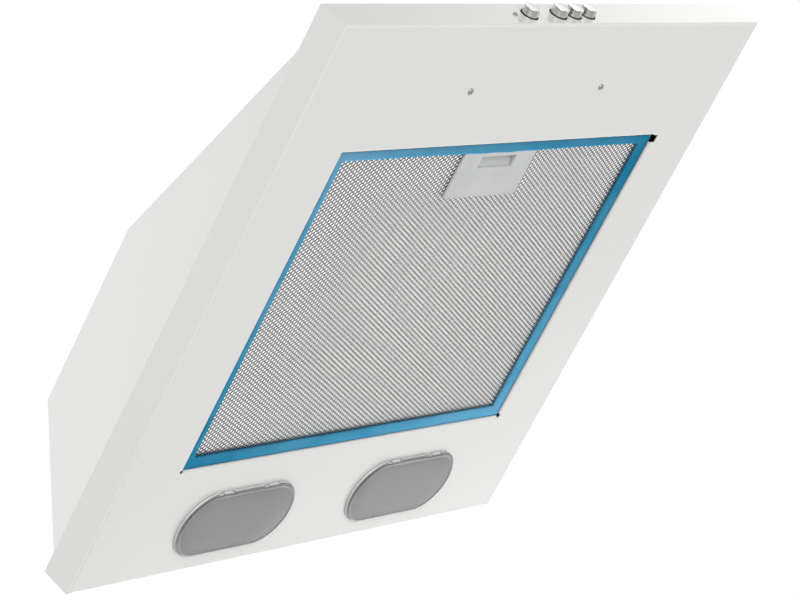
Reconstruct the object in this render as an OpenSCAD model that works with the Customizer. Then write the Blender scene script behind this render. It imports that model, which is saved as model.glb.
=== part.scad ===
// Under cabinet range hood with one double inlet blower, two lamps and a grease filter.
// Millimetres. +X is right seen from the front, +Y runs to the wall and +Z is up.
// Places are counted from the middle of the tray's front lower edge. in_frame() then moves
// the whole hood, so that the origin is the centre of the cabinet screws in the flat top.

/* [Sheet metal body] */
// Width of the tray
hood_w = 500; // [480:5:600]
// Depth of the tray, front to wall
hood_d = 484; // [476:2:520]
// Height of the tray's rim
rim_h = 27; // [26:1:36]
// Height of the body from the underside to the flat top
body_h = 206; // [200:1:230]
// Thickness of the steel sheet
sheet = 0.8; // [0.6:0.1:1.2]
// Outer radius of the folds round the underside
bend_r = 2; // [1.5:0.5:3]
// Ledge of the tray at each side of the dome
ledge = 10; // [6:1:16]
// Ledge of the tray in front of the dome
front_ledge = 20; // [14:1:30]
// Width of the flat top
top_w = 194; // [186:2:220]
// Depth of the flat top
top_d = 165; // [156:1:176]
// Width of the laps along the foot and the back
lap_w = 12; // [8:1:14]
// Width of the laps along the hips and the flat top
hip_lap = 8; // [5:1:10]
// Width of the laps over the lamps, along the tray's wall side
rear_lap = 6; // [4:0.5:7]

/* [Fixing to the cabinet and the wall] */
// Spacing of the cabinet screws across the hood
mount_dx = 160; // [150:2:170]
// Spacing of the cabinet screws front to back
mount_dy = 136; // [130:1:142]
// Radius of the cabinet screw holes
mount_r = 2.5; // [2:0.25:3.5]
// Spacing of the wall keyholes
keyhole_dx = 240; // [200:10:260]
// Height of the keyholes' hanging point over the underside
keyhole_z = 120; // [100:5:130]
// Radius of a keyhole's entry
keyhole_r = 5.5; // [5:0.5:7]
// Width of a keyhole's slot
keyhole_slot = 5.5; // [4:0.5:6]
// Length of a keyhole's slot
keyhole_l = 12; // [10:1:16]

/* [Duct outlet] */
// Outer radius of the duct collar
collar_r = 59.5; // [50:0.5:60]
// Height of the collar over the flat top
collar_h = 20; // [16:1:24]
// Wall of the collar
collar_wall = 2; // [1.5:0.25:3]
// Width of the collar's flange outside its tube
collar_flange_w = 10; // [9:0.5:11]
// Thickness of the collar's flange
collar_flange_t = 2; // [1.5:0.5:3]
// Height of the flap pin over the flat top
flap_z = 8; // [6.5:0.5:10]
// Radius of the flap pin
flap_pin_r = 1.5; // [1:0.25:2]
// Thickness of a flap
flap_t = 1.2; // [1:0.1:1.6]
// Radius of the flaps' knuckles
knuckle_r = 3; // [2.6:0.1:3.4]

/* [Blower] */
// Inner radius of the scroll at its tongue
scroll_r0 = 56; // [55:1:60]
// Inner radius of the scroll at its outlet
scroll_r1 = 78; // [74:1:82]
// Height of the blower's axis over the underside
blower_z = 106; // [102:1:112]
// Width of the scroll
scroll_w = 104; // [100:1:110]
// Wall of the scroll
scroll_wall = 2; // [1.5:0.25:2.5]
// Radius of each air inlet
inlet_r = 42; // [38:1:44]
// Outer radius of the impeller
impeller_r = 50; // [46:1:52]
// Width of the impeller
impeller_w = 92; // [84:1:94]
// Radial depth of the impeller's blades
blade_depth = 10; // [8:0.5:12]
// Number of blades
blade_count = 36; // [24:2:36]
// Thickness of a blade
blade_t = 1; // [0.8:0.1:1.4]
// Radius of the motor
motor_r = 34; // [28:1:36]
// Length of the motor
motor_l = 64; // [56:1:66]
// Radius of the motor's shaft
shaft_r = 4; // [3:0.25:5]
// Length of the shaft outside the motor
shaft_out = 18; // [14:1:22]
// Distance of the motor's fixing screws from its axis
motor_screw_c = 22; // [18:1:24]
// Radius of the circle of rubber bushes
bush_circle_r = 52; // [51:0.5:54]
// Length of a rubber bush
bush_l = 6; // [4:0.5:8]
// Height of the duct transition over the scroll
transition_h = 18; // [14:1:22]

/* [Filter opening] */
// Distance of the filter from the tray's front
filter_front = 103.5; // [97:0.5:104]
// Width of the filter cassette
filter_w = 376; // [360:2:380]
// Depth of the filter cassette
filter_d = 275; // [265:1:276]
// Gap between the filter and its opening at the front and sides
filter_gap = 1; // [0.6:0.1:1.5]
// Gap behind the filter, where its lower edge turns
filter_rear_gap = 1.6; // [1.6:0.1:2]
// Height of the flanges round the opening
opening_flange_h = 11; // [10.5:0.5:14]
// Radius of the fold at the opening's edge
opening_lip_r = 1; // [0.8:0.1:1.4]
// Width of the pry notch at the front right corner
pry_w = 6; // [3:0.5:7]
// Length of the pry notch
pry_l = 7; // [4:0.5:10]
// Size of the fold reliefs at the rear corners
relief = 2; // [1.5:0.25:2.5]

/* [Filter cassette] */
// Height of the cassette
filter_h = 9; // [8.5:0.25:9.5]
// Depth of the cassette over the underside
filter_z = 1.5; // [1.2:0.1:1.8]
// Width of the frame's left leg
frame_left_leg = 7; // [6.5:0.5:9]
// Width of the frame's right leg
frame_right_leg = 12.5; // [10:0.5:13]
// Width of the frame's rear leg
frame_rear_leg = 9.5; // [9:0.5:11]
// Width of the frame's front leg
frame_front_leg = 7.5; // [7:0.25:9]
// Wall of the frame
frame_wall = 1; // [0.8:0.1:1.2]
// Thickness of the frame's legs
leg_t = 0.8; // [0.6:0.1:1]
// Depth of the lower mesh inside the frame
mesh_recess = 2; // [1.8:0.1:2.2]
// Thickness of a mesh sheet
mesh_t = 0.4; // [0.3:0.1:0.6]
// Number of inner mesh layers
pack_layers = 4; // [3:1:5]
// Thickness of an inner mesh layer
pack_t = 0.2; // [0.15:0.05:0.3]
// Thickness of the protective film
film_t = 0.15; // [0.1:0.05:0.2]
// Radius of the filter's hinge pins
hinge_pin_r = 1.5; // [1.25:0.25:1.75]
// Distance of the hinge pins from the filter's rear
hinge_in = 3; // [2.5:0.25:3.5]
// Height of the hinge pins over the cassette's lower face
hinge_up = 3.1; // [2.8:0.1:3.5]
// Length of a hinge pin
hinge_pin_l = 9; // [6:0.5:12]

/* [Handle and latch] */
// Width of the handle
handle_w = 86; // [80:1:94]
// Depth of the handle
handle_d = 39.5; // [37:0.5:42]
// Thickness of the handle's plate
handle_t = 1.9; // [1.6:0.1:2]
// Radius of the handle's rear corners
handle_corner_r = 2; // [1:0.5:4]
// Width of the finger recess
finger_w = 42; // [36:1:50]
// Distance of the finger recess from the handle's front
finger_in = 3.75; // [3:0.25:4]
// Depth of the finger recess
finger_d = 10.5; // [10:0.25:11.5]
// Depth of the latch that stays hidden under the handle's plate
latch_tail = 2; // [1.5:0.25:2.5]
// Wall of the latch's pocket
pocket_wall = 2; // [1.5:0.25:3]
// Travel of the latch
latch_travel = 4; // [3:0.5:4]
// Width of the latch's tongue
tongue_w = 20; // [14:1:24]
// Thickness of the latch's tongue
tongue_t = 1.8; // [1.4:0.1:2]

/* [Lamps] */
// Distance of each lamp from the middle
lamp_x = 98.5; // [92:0.5:104]
// Distance of the lamps from the wall side
lamp_rear = 46; // [44.5:0.5:48]
// Width of a lamp cover
cover_w = 125; // [122:1:128]
// Depth of a lamp cover
cover_d = 61; // [59:1:64]
// Height that the cover stands under the tray
cover_drop = 3; // [2.5:0.25:4]
// Wall of the cover
cover_wall = 1.6; // [1.2:0.1:2]
// Width of the cover's rim round the opening
cover_lap = 4; // [3:0.5:5]
// Height of the cover's skirt inside the opening
skirt_h = 4; // [3:0.5:5]
// Width of a snap tab
tab_w = 9.5; // [8:0.5:11]
// Distance of the snap tabs from the cover's middle
tab_x = 25.5; // [23:0.5:27]
// Width of the slit right of each snap tab
slit_w = 2.4; // [2:0.1:3]
// Width of the slit left of each snap tab
slit_wide = 6; // [4:0.5:7]
// Height of the lamp boxes
lamp_box_h = 44; // [42:1:46]
// Height of the bulb's axis over the underside
bulb_z = 24; // [22:1:26]
// Radius of the bulb's glass
bulb_r = 12.5; // [11:0.5:13]
// Length of the bulb's glass
bulb_l = 62; // [50:1:66]
// Radius of the lamp holder
holder_r = 10; // [9:0.5:12]
// Length of the lamp holder
holder_l = 26; // [22:1:28]
// Radius of the bulb's screw cap
cap_r = 6.9; // [6:0.1:7.5]

/* [Push buttons] */
// Place of the switch block's middle key
key_mid_x = -1.4; // [-10:0.2:10]
// Distance between keys
key_pitch = 17.45; // [16:0.05:18.5]
// Height of the keys over the underside
key_z = 13; // [11:0.5:14]
// Radius of a button
button_r = 6.2; // [5:0.1:6.5]
// Height that a button stands out of the rim
button_out = 6.5; // [5.5:0.5:8]
// Length of a button inside the rim
button_in = 8; // [6:0.5:9]
// Travel of a button
button_travel = 3.5; // [2:0.25:4]
// Radius of a button's stem
stem_r = 2.6; // [2:0.1:3]
// Wall of the guide sleeves round the buttons
sleeve_wall = 0.6; // [0.5:0.1:0.8]
// Height that the sleeves stand out of the rim
sleeve_out = 0.5; // [0.3:0.1:0.8]
// Distance of the switch block from the tray's front
switch_y = 18; // [17:0.5:22]
// Depth of the switch block
switch_d = 26; // [20:1:26]
// Height of the switch block
switch_h = 19; // [15:1:21]
// Distance of the indicator lamp from the first key
led_dx = 16.7; // [13:0.1:20]
// Radius of the indicator lamp
led_r = 1.9; // [1.5:0.1:2.5]
// Spacing of the two screws in the tray that hold the switch bracket
panel_screw_dx = 159; // [150:1:170]
// Distance of these screws from the tray's front
panel_screw_y = 55.5; // [55:0.5:60]
// Radius of these screws' heads
panel_screw_r = 2.6; // [2.2:0.1:3.5]

/* [Electrical parts] */
// Width of the terminal box
terminal_w = 30; // [26:1:32]
// Length of the terminal box
terminal_l = 70; // [50:2:80]
// Height of the terminal box
terminal_h = 22; // [18:1:24]
// Height of the terminal box's and capacitor's lower end over the underside
electric_z = 66; // [60:1:76]
// Clear space between the keyholes and the electrical parts
electric_gap = 10; // [6:1:14]
// Radius of the capacitor
capacitor_r = 12; // [10:0.5:12]
// Length of the capacitor
capacitor_l = 48; // [40:2:60]
// Bore radius of the mains cable's gland
gland_r = 3.6; // [3:0.1:4]
// Outer radius of the gland's head
gland_head_r = 8; // [7:0.5:8.5]
// Place of the gland right of the middle
gland_x = 80; // [79:0.25:80.5]

/* [Hidden] */
$fn = 64;

// Clearances and small sizes shared by several pieces
run_gap = 0.05;      // radial clearance of a shaft or pin in its hole
part_gap = 0.3;      // space between pieces that move past each other
seat_gap = 0.1;      // space between pieces that are only laid together
eps = 1;             // overshoot of a cutting shape
minor_r = 1;         // small rounded edges

// Body: run of its slopes for each millimetre of height
dome_h = body_h - rim_h;
side_run = (hood_w / 2 - ledge - top_w / 2) / dome_h;
front_run = (hood_d - top_d - front_ledge) / dome_h;
top_z = body_h - sheet;
body_rear = hood_d - sheet;
past = -5;           // offset that carries a cutting form out past a face
past_rear = hood_d + 1;

// Duct and blower
duct_y = hood_d - top_d / 2;
duct_r = collar_r - collar_wall;
collar_flange_r = collar_r + collar_flange_w;
collar_screw_r = collar_r + collar_flange_w / 2;
tongue_a = 75;
tongue_y = scroll_r0 * cos(tongue_a);
blower_y = duct_y - (scroll_r1 + tongue_y) / 2;
neck_d = scroll_r1 - tongue_y;
neck_z = top_z - collar_flange_t - transition_h;
scroll_x = scroll_w / 2;
bracket_x = scroll_x + bush_l;
bracket_t = 2;
arm_w = 16;
blade_in_r = impeller_r - blade_depth;
disc_inset = 8;
disc_x = bracket_x - motor_l - disc_inset;
shaft_in = 14;
gland_h = 16;
cut_over = 20;
motor_boss_r = 12;
disc_t = 2;
flap_r = duct_r - 1.5;
flap_level = body_h + flap_z;
knuckle_l = 9;
knuckle_step = 2 * (knuckle_l + part_gap);

// Filter
filter_rear = filter_front + filter_d;
cut_front = filter_front - filter_gap;
cut_rear = filter_rear + filter_rear_gap;
cut_d = cut_rear - cut_front;
cut_w = filter_w + 2 * filter_gap;
filter_top = filter_z + filter_h;
hinge_y = filter_rear - hinge_in;
hinge_z = filter_z + hinge_up;
mesh_z = filter_z + mesh_recess;
mesh_top_z = filter_top - leg_t - mesh_t;
handle_y = filter_front + frame_front_leg;
handle_z = mesh_z - seat_gap - handle_t;
pocket_z = mesh_top_z - seat_gap;
pocket_roof = 0.5;
latch_top = pocket_z - pocket_roof - part_gap;
finger_y = handle_y + finger_in;
latch_rear = finger_y + finger_d + latch_tail;
latch_low = handle_z + handle_t + part_gap;
tongue_z = latch_top - tongue_t;
tongue_tip = cut_front + part_gap;
pocket_w = finger_w + 2 * pocket_wall;
latch_room = finger_d + latch_tail + latch_travel + part_gap;
pocket_d = finger_in + latch_room + pocket_wall;

// Lamps
lamp_y = hood_d - lamp_rear;
lamp_open_w = cover_w - 2 * cover_lap;
lamp_open_d = cover_d - 2 * cover_lap;
lamp_box_w = lamp_open_w + 6;
lamp_box_d = lamp_open_d + 6;
lamp_flange = 3;
cover_edge_r = cover_drop / 2;
holder_x = lamp_box_w / 2 - sheet;
holder_back = 8;
holder_arm_w = 10;
holder_mouth = holder_x - holder_back - holder_l;

// Keys of the switch block: the second of the five places is blank
key_count = 5;
keys = [0, 2, 3, 4];
sleeve_r = button_r + part_gap + sleeve_wall;
guide_t = 2;
led_x = key_x(0) - led_dx;
switch_w = key_pitch * key_count + 2;
bracket_end = 12;
bracket_w = panel_screw_dx + 2 * bracket_end;
bracket_sheet = 1;
electric_x = keyhole_dx / 2 - keyhole_r - electric_gap - terminal_w / 2;

function key_x(i) = key_mid_x + (i - (key_count - 1) / 2) * key_pitch;
// Half width and front of the body at height z, for a form that lies t inside the outer faces
function dome_half(z, t) = hood_w / 2 - ledge - (z - rim_h) * side_run - t * sqrt(1 + side_run * side_run);
function dome_front(z, t) = front_ledge + (z - rim_h) * front_run + t * sqrt(1 + front_run * front_run);

// ---------------------------------------------------------------- shared shapes

module in_frame() {
    translate([0, -duct_y, -body_h]) children();
}

// A section whose two lower corners are rounded
module pan_2d(w, h, r) {
    translate([-w / 2, r]) square([w, h - r]);
    translate([-w / 2 + r, 0]) square([w - 2 * r, h]);
    for (s = [-1, 1]) translate([s * (w / 2 - r), r]) circle(r);
}

// A section that flares out over its lowest millimetres, for a hole with a folded edge
module flare_2d(w, h, r) {
    translate([-w / 2, -eps]) square([w, h + eps]);
    difference() {
        translate([-w / 2 - r, -eps]) square([w + 2 * r, r + eps]);
        for (s = [-1, 1]) translate([s * (w / 2 + r), r]) circle(r);
    }
}

// A block whose section across is child 0 and whose section front to back is child 1
module crossed(w, d) {
    intersection() {
        rotate([90, 0, 0]) linear_extrude(d + 4 * eps, center = true) children(0);
        rotate([90, 0, 90]) linear_extrude(w + 4 * eps, center = true) children(1);
    }
}

module pan(w, d, h, r) {
    crossed(w, d) {
        pan_2d(w, h, r);
        pan_2d(d, h, r);
    }
}

// A rounded slot shape, w long and d wide
module stadium(w, d) {
    square([w - d, d], center = true);
    for (s = [-1, 1]) translate([s * (w - d) / 2, 0]) circle(d / 2);
}

// A plate with its rear corners rounded, from y = 0 backwards
module rear_rounded(w, d, r) {
    translate([-w / 2, 0]) square([w, d - r]);
    translate([-w / 2 + r, 0]) square([w - 2 * r, d]);
    for (s = [-1, 1]) translate([s * (w / 2 - r), d - r]) circle(r);
}

// A cylinder along X, from x = 0
module rod_x(r, l) {
    rotate([0, 90, 0]) cylinder(h = l, r = r);
}

// A cylinder along Y, from y = 0
module rod_y(r, l) {
    rotate([-90, 0, 0]) cylinder(h = l, r = r);
}

// A pan head screw whose head lies below z = 0, with a cross recess
module pan_screw(head_r, head_h, shank_r, shank_l) {
    difference() {
        union() {
            translate([0, 0, -head_h]) cylinder(h = head_h, r1 = head_r * 0.8, r2 = head_r);
            cylinder(h = shank_l, r = shank_r);
        }
        for (a = [0, 90]) rotate(a)
            translate([-head_r * 0.6, -head_r * 0.11, -head_h - eps])
                cube([head_r * 1.2, head_r * 0.22, head_h * 0.6 + eps]);
    }
}

// ---------------------------------------------------------------- tray

module button_holes(r, y0, l) {
    for (i = keys) translate([key_x(i), y0, key_z]) rod_y(r, l);
}

module filter_cut() {
    translate([0, cut_front + cut_d / 2, 0]) crossed(cut_w + 4, cut_d + 4) {
        flare_2d(cut_w, rim_h, opening_lip_r);
        flare_2d(cut_d, rim_h, opening_lip_r);
    }
}

module bottom_tray() {
    inner_x = hood_w / 2 - ledge - lap_w;
    color("whitesmoke") in_frame() difference() {
        union() {
            difference() {
                translate([0, hood_d / 2, 0]) pan(hood_w, hood_d, rim_h, bend_r);
                translate([0, hood_d / 2, sheet])
                    pan(hood_w - 2 * sheet, hood_d - 2 * sheet, rim_h, bend_r - sheet);
            }
            difference() {
                translate([-hood_w / 2, 0, rim_h - sheet]) cube([hood_w, hood_d, sheet]);
                translate([-inner_x, front_ledge + lap_w, rim_h - sheet - eps])
                    cube([2 * inner_x, body_rear - rear_lap - front_ledge - lap_w, sheet + 2 * eps]);
            }
            translate([-cut_w / 2 - sheet, cut_front - sheet, 0])
                cube([cut_w + 2 * sheet, cut_d + 2 * sheet, opening_flange_h]);
        }
        filter_cut();
        translate([cut_w / 2 - eps, cut_front + eps / 2, -eps])
            cube([pry_w + eps, pry_l, opening_flange_h + 2 * eps]);
        for (s = [-1, 1])
            translate([s * cut_w / 2, cut_rear, -eps])
                cylinder(h = opening_flange_h + 2 * eps, r = relief);
        translate([-cut_w / 2 - eps - sheet, hinge_y, hinge_z])
            rod_x(hinge_pin_r + run_gap, cut_w + 2 * sheet + 2 * eps);
        for (s = [-1, 1])
            translate([s * lamp_x, lamp_y, -eps])
                linear_extrude(sheet + 2 * eps) stadium(lamp_open_w, lamp_open_d);
        button_holes(sleeve_r + seat_gap, -eps, sheet + 2 * eps);
        translate([led_x, -eps, key_z]) rod_y(led_r + seat_gap, sheet + 2 * eps);
        for (s = [-1, 1])
            translate([s * panel_screw_dx / 2, panel_screw_y, -eps]) cylinder(h = sheet + 2 * eps, r = 1.7);
    }
}

// ---------------------------------------------------------------- body panels

// The body's form between two heights, front_t and side_t inside its outer faces, up to y = rear
module body_form(z0, z1, front_t, side_t, rear = body_rear) {
    intersection() {
        rotate([90, 0, 90]) linear_extrude(2 * hood_w, center = true) polygon([
            [dome_front(z0, front_t), z0], [rear, z0], [rear, z1], [dome_front(z1, front_t), z1]
        ]);
        translate([0, rear, 0]) rotate([90, 0, 0]) linear_extrude(hood_d + cut_over) polygon([
            [-dome_half(z0, side_t), z0], [dome_half(z0, side_t), z0],
            [dome_half(z1, side_t), z1], [-dome_half(z1, side_t), z1]
        ]);
    }
}

// The space inside the laps round the flat top
module inside_top_laps(side_w, front_w) {
    translate([-top_w / 2 + side_w, hood_d - top_d + front_w, top_z - sheet - eps])
        cube([top_w - 2 * side_w, top_d - front_w + eps, sheet + 2 * eps]);
}

module mount_holes() {
    for (sx = [-1, 1], sy = [-1, 1])
        translate([sx * mount_dx / 2, duct_y + sy * mount_dy / 2, top_z - eps])
            cylinder(h = sheet + 2 * eps, r = mount_r);
}

module collar_screw_places() {
    for (a = [45:90:315]) translate([0, duct_y, 0]) rotate(a) translate([collar_screw_r, 0, 0]) children();
}

// Front slope, with a foot on the tray and a lap under the top plate
module front_panel() {
    color("whitesmoke") in_frame() {
        difference() {
            body_form(rim_h, body_h, 0, 0);
            body_form(rim_h - eps, body_h + eps, sheet, past, past_rear);
        }
        difference() {
            body_form(rim_h, rim_h + sheet, 0, sheet);
            body_form(rim_h - eps, rim_h + sheet + eps, lap_w, past, past_rear);
        }
        difference() {
            body_form(top_z - sheet, top_z, 0, sheet + hip_lap);
            inside_top_laps(past, hip_lap);
        }
    }
}

// Side slope on the side s, with laps on the tray and under its three neighbours
module side_panel(s) {
    color("whitesmoke") in_frame() difference() {
        union() {
            difference() {
                body_form(rim_h, top_z, sheet, 0);
                body_form(rim_h - eps, top_z + eps, past, sheet, past_rear);
            }
            difference() {
                body_form(rim_h, rim_h + sheet, lap_w, 0);
                body_form(rim_h - eps, rim_h + sheet + eps, past, lap_w, past_rear);
            }
            difference() {
                body_form(rim_h + sheet, top_z, sheet, 0);
                body_form(rim_h, top_z + eps, 2 * sheet, past, past_rear);
                body_form(rim_h, top_z + eps, past, sheet + hip_lap, past_rear);
            }
            difference() {
                body_form(top_z - sheet, top_z, sheet, 0);
                inside_top_laps(hip_lap, past);
            }
            difference() {
                body_form(rim_h, top_z, sheet, 0);
                body_form(rim_h - eps, top_z + eps, past, lap_w, past_rear);
                translate([-hood_w, -eps, 0]) cube([2 * hood_w, body_rear - sheet + eps, body_h]);
            }
        }
        translate([s > 0 ? -hood_w : 0, -eps, 0]) cube([hood_w, hood_d + 2 * eps, body_h + eps]);
    }
}

module side_panel_left() { side_panel(-1); }
module side_panel_right() { side_panel(1); }

// Flat top, with the duct's hole, the cabinet screw holes and the gland's hole
module top_plate() {
    color("whitesmoke") in_frame() difference() {
        body_form(top_z, body_h, sheet, 0);
        translate([0, duct_y, top_z - eps]) cylinder(h = sheet + 2 * eps, r = duct_r);
        mount_holes();
        collar_screw_places() translate([0, 0, top_z - eps]) cylinder(h = sheet + 2 * eps, r = 1.7);
        translate([gland_x, duct_y, top_z - eps]) cylinder(h = sheet + 2 * eps, r = gland_r + 2);
    }
}

module keyhole() {
    translate([0, 0, -keyhole_l]) rod_y(keyhole_r, sheet + 2 * eps);
    rod_y(keyhole_slot / 2, sheet + 2 * eps);
    translate([-keyhole_slot / 2, 0, -keyhole_l]) cube([keyhole_slot, sheet + 2 * eps, keyhole_l]);
}

// Back, with a foot on the tray and a flange under the top plate
module back_panel() {
    flange_y = body_rear - rear_lap;
    flange_d = rear_lap + sheet / 2;
    foot_x = dome_half(rim_h + sheet, lap_w) - seat_gap;
    head_x = dome_half(top_z, lap_w) - seat_gap;
    color("whitesmoke") in_frame() difference() {
        union() {
            translate([0, hood_d, 0]) rotate([90, 0, 0]) linear_extrude(sheet) polygon([
                [-dome_half(rim_h, 0), rim_h], [dome_half(rim_h, 0), rim_h],
                [dome_half(body_h, 0), body_h], [-dome_half(body_h, 0), body_h]
            ]);
            translate([-foot_x, flange_y, rim_h]) cube([2 * foot_x, flange_d, sheet]);
            translate([-head_x, flange_y, top_z - sheet]) cube([2 * head_x, flange_d, sheet]);
        }
        for (s = [-1, 1]) translate([s * keyhole_dx / 2, body_rear - eps, keyhole_z]) keyhole();
    }
}

// ---------------------------------------------------------------- duct collar and flaps

module outlet_collar() {
    seat_z = flap_level - flap_t / 2 - part_gap;
    pocket = 8;
    color("dimgray") in_frame() translate([0, duct_y, 0]) difference() {
        union() {
            translate([0, 0, body_h]) cylinder(h = collar_flange_t, r = collar_flange_r);
            translate([0, 0, body_h]) cylinder(h = collar_h, r = collar_r);
        }
        translate([0, 0, seat_z]) cylinder(h = collar_h, r = duct_r);
        translate([0, 0, body_h - eps]) cylinder(h = collar_h, r = duct_r - 2.5);
        translate([-collar_r + 0.8, 0, flap_level]) rod_x(flap_pin_r, 2 * collar_r - 1.6);
        for (s = [-1, 1])
            translate([s * (duct_r - pocket / 2), 0, flap_level])
                cube([pocket, 2 * knuckle_r + 1, 2 * knuckle_r + 1], center = true);
        for (a = [45:90:315]) rotate(a)
            translate([collar_screw_r, 0, body_h - eps]) cylinder(h = collar_flange_t + 2 * eps, r = 1.7);
    }
}

module collar_screws() {
    color("silver") in_frame() collar_screw_places()
        translate([0, 0, body_h + collar_flange_t]) rotate([180, 0, 0]) pan_screw(3, 2, 1.5, 7);
}

module flap_pin() {
    color("silver") in_frame() translate([-collar_r + 1, duct_y, flap_level])
        rod_x(flap_pin_r, 2 * collar_r - 2);
}

// One half round flap, hinged along X, whose plate lies on the side s of the pin
module flap(s, shift) {
    root = knuckle_r + 0.6;
    color("gray") in_frame() translate([0, duct_y, flap_level]) difference() {
        union() {
            intersection() {
                translate([0, 0, -flap_t / 2]) cylinder(h = flap_t, r = flap_r);
                translate([-flap_r, s > 0 ? root : -flap_r - root, -flap_t])
                    cube([2 * flap_r, flap_r, 2 * flap_t]);
            }
            for (i = [-2:2]) translate([i * knuckle_step + shift - knuckle_l / 2, 0, 0]) {
                rod_x(knuckle_r, knuckle_l);
                translate([0, s > 0 ? 0 : -root - 1, -flap_t / 2]) cube([knuckle_l, root + 1, flap_t]);
            }
            // Stiffening rib across the plate
            translate([-flap_r * 0.7, s * flap_r / 2 - 0.6, flap_t / 2]) cube([flap_r * 1.4, 1.2, 1.2]);
        }
        translate([-collar_r, 0, 0]) rod_x(flap_pin_r + run_gap, 2 * collar_r);
    }
}

module flap_front() { flap(-1, -knuckle_step / 4); }
module flap_rear() { flap(1, knuckle_step / 4); }

module duct_transition() {
    // From the scroll's rectangular mouth to the round duct
    module funnel(grow, z0, z1) {
        hull() {
            translate([-scroll_x - grow, duct_y - neck_d / 2 - scroll_wall - grow, z0])
                cube([2 * scroll_x + 2 * grow, neck_d + 2 * scroll_wall + 2 * grow, 0.5]);
            translate([0, duct_y, z1 - 0.5]) cylinder(h = 0.5, r = duct_r - 1 + grow, $fn = 32);
        }
    }
    module sleeve(grow, z0, z1) {
        translate([-scroll_x - grow, duct_y - neck_d / 2 - scroll_wall - grow, z0])
            cube([2 * scroll_x + 2 * grow, neck_d + 2 * scroll_wall + 2 * grow, z1 - z0]);
    }
    flange_z = top_z - collar_flange_t;
    lap = 5;
    color("gray") in_frame() difference() {
        union() {
            translate([0, duct_y, flange_z]) cylinder(h = collar_flange_t, r = collar_flange_r);
            funnel(scroll_wall, neck_z, flange_z + 0.5);
            sleeve(scroll_wall, neck_z - lap, neck_z + 0.5);
        }
        sleeve(seat_gap, neck_z - lap - eps, neck_z);
        funnel(-scroll_wall, neck_z - 0.01, top_z);
        translate([0, duct_y, top_z - 1]) cylinder(h = 2, r = duct_r - 1 - scroll_wall);
        collar_screw_places() translate([0, 0, flange_z - eps])
            cylinder(h = collar_flange_t + 2 * eps, r = 1.6);
    }
}

// ---------------------------------------------------------------- blower

// Outline of the scroll in the YZ plane, grown by g, as a spiral from the tongue to the outlet
function scroll_outline(g) = concat(
    [[scroll_r1 + g, neck_z - blower_z], [tongue_y - g, neck_z - blower_z]],
    [for (i = [0:38]) let (
        a = tongue_a + (360 - tongue_a) * i / 38,
        r = scroll_r0 + (scroll_r1 - scroll_r0) * i / 38 + g
    ) [r * cos(a), r * sin(a)]]
);

module scroll_prism(g, x0, x1) {
    translate([x0, blower_y, blower_z]) rotate([90, 0, 90]) linear_extrude(x1 - x0)
        polygon(scroll_outline(g));
}

module bush_places() {
    for (a = [90:120:330]) translate([0, blower_y, blower_z]) rotate([a, 0, 0])
        translate([0, bush_circle_r, 0]) children();
}

// Half of the scroll on the side s
module scroll_half(s) {
    lip_r = scroll_wall;
    difference() {
        union() {
            difference() {
                scroll_prism(scroll_wall, min(0, s * scroll_x), max(0, s * scroll_x));
                scroll_prism(0, s > 0 ? -eps : -scroll_x + scroll_wall,
                    s > 0 ? scroll_x - scroll_wall : eps);
                // Open mouth of the neck
                translate([s > 0 ? -eps : -scroll_x + scroll_wall, blower_y + tongue_y, neck_z - 4])
                    cube([scroll_x - scroll_wall + eps, neck_d, 4 + eps]);
            }
            translate([s * (scroll_x - lip_r / 2), blower_y, blower_z]) rotate([0, 90, 0])
                rotate_extrude() translate([inlet_r + lip_r, 0]) circle(lip_r);
        }
        translate([s > 0 ? scroll_x - 2 * scroll_wall - lip_r : -scroll_x - lip_r - eps, blower_y, blower_z])
            rod_x(inlet_r, 2 * scroll_wall + 2 * lip_r + eps);
        if (s > 0) bush_places() translate([scroll_x - scroll_wall - eps, 0, 0])
            rod_x(1.6, scroll_wall + 2 * eps);
    }
}

module scroll_left() { color("lightgray") in_frame() scroll_half(-1); }
module scroll_right() { color("lightgray") in_frame() scroll_half(1); }

module inlet_guard() {
    bar = 2;
    lip = scroll_wall / 2;
    color("dimgray") in_frame() translate([-scroll_x - lip - bar, blower_y, blower_z]) {
        for (r = [14:12:inlet_r]) difference() {
            rod_x(r + 1, bar);
            translate([-eps, 0, 0]) rod_x(r - 1, bar + 2 * eps);
        }
        difference() {
            rod_x(inlet_r + 4, bar);
            translate([-eps, 0, 0]) rod_x(inlet_r - 1, bar + 2 * eps);
        }
        for (a = [0:45:135]) rotate([a, 0, 0]) translate([0, -inlet_r, -1]) cube([bar, 2 * inlet_r, bar]);
    }
}

// One forward curved blade, as an arc from the inner to the outer radius
module blade() {
    n = 6;
    lean = 9;
    path = [for (i = [0:n]) let (
        f = i / n,
        r = blade_in_r + 0.2 + f * (blade_depth - 0.4),
        a = lean * f * f
    ) [r * cos(a), r * sin(a)]];
    back = [for (i = [n:-1:0]) let (
        f = i / n,
        r = blade_in_r + 0.2 + f * (blade_depth - 0.4),
        a = lean * f * f + blade_t / r * 180 / PI
    ) [r * cos(a), r * sin(a)]];
    linear_extrude(impeller_w - 2) polygon(concat(path, back));
}

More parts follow.
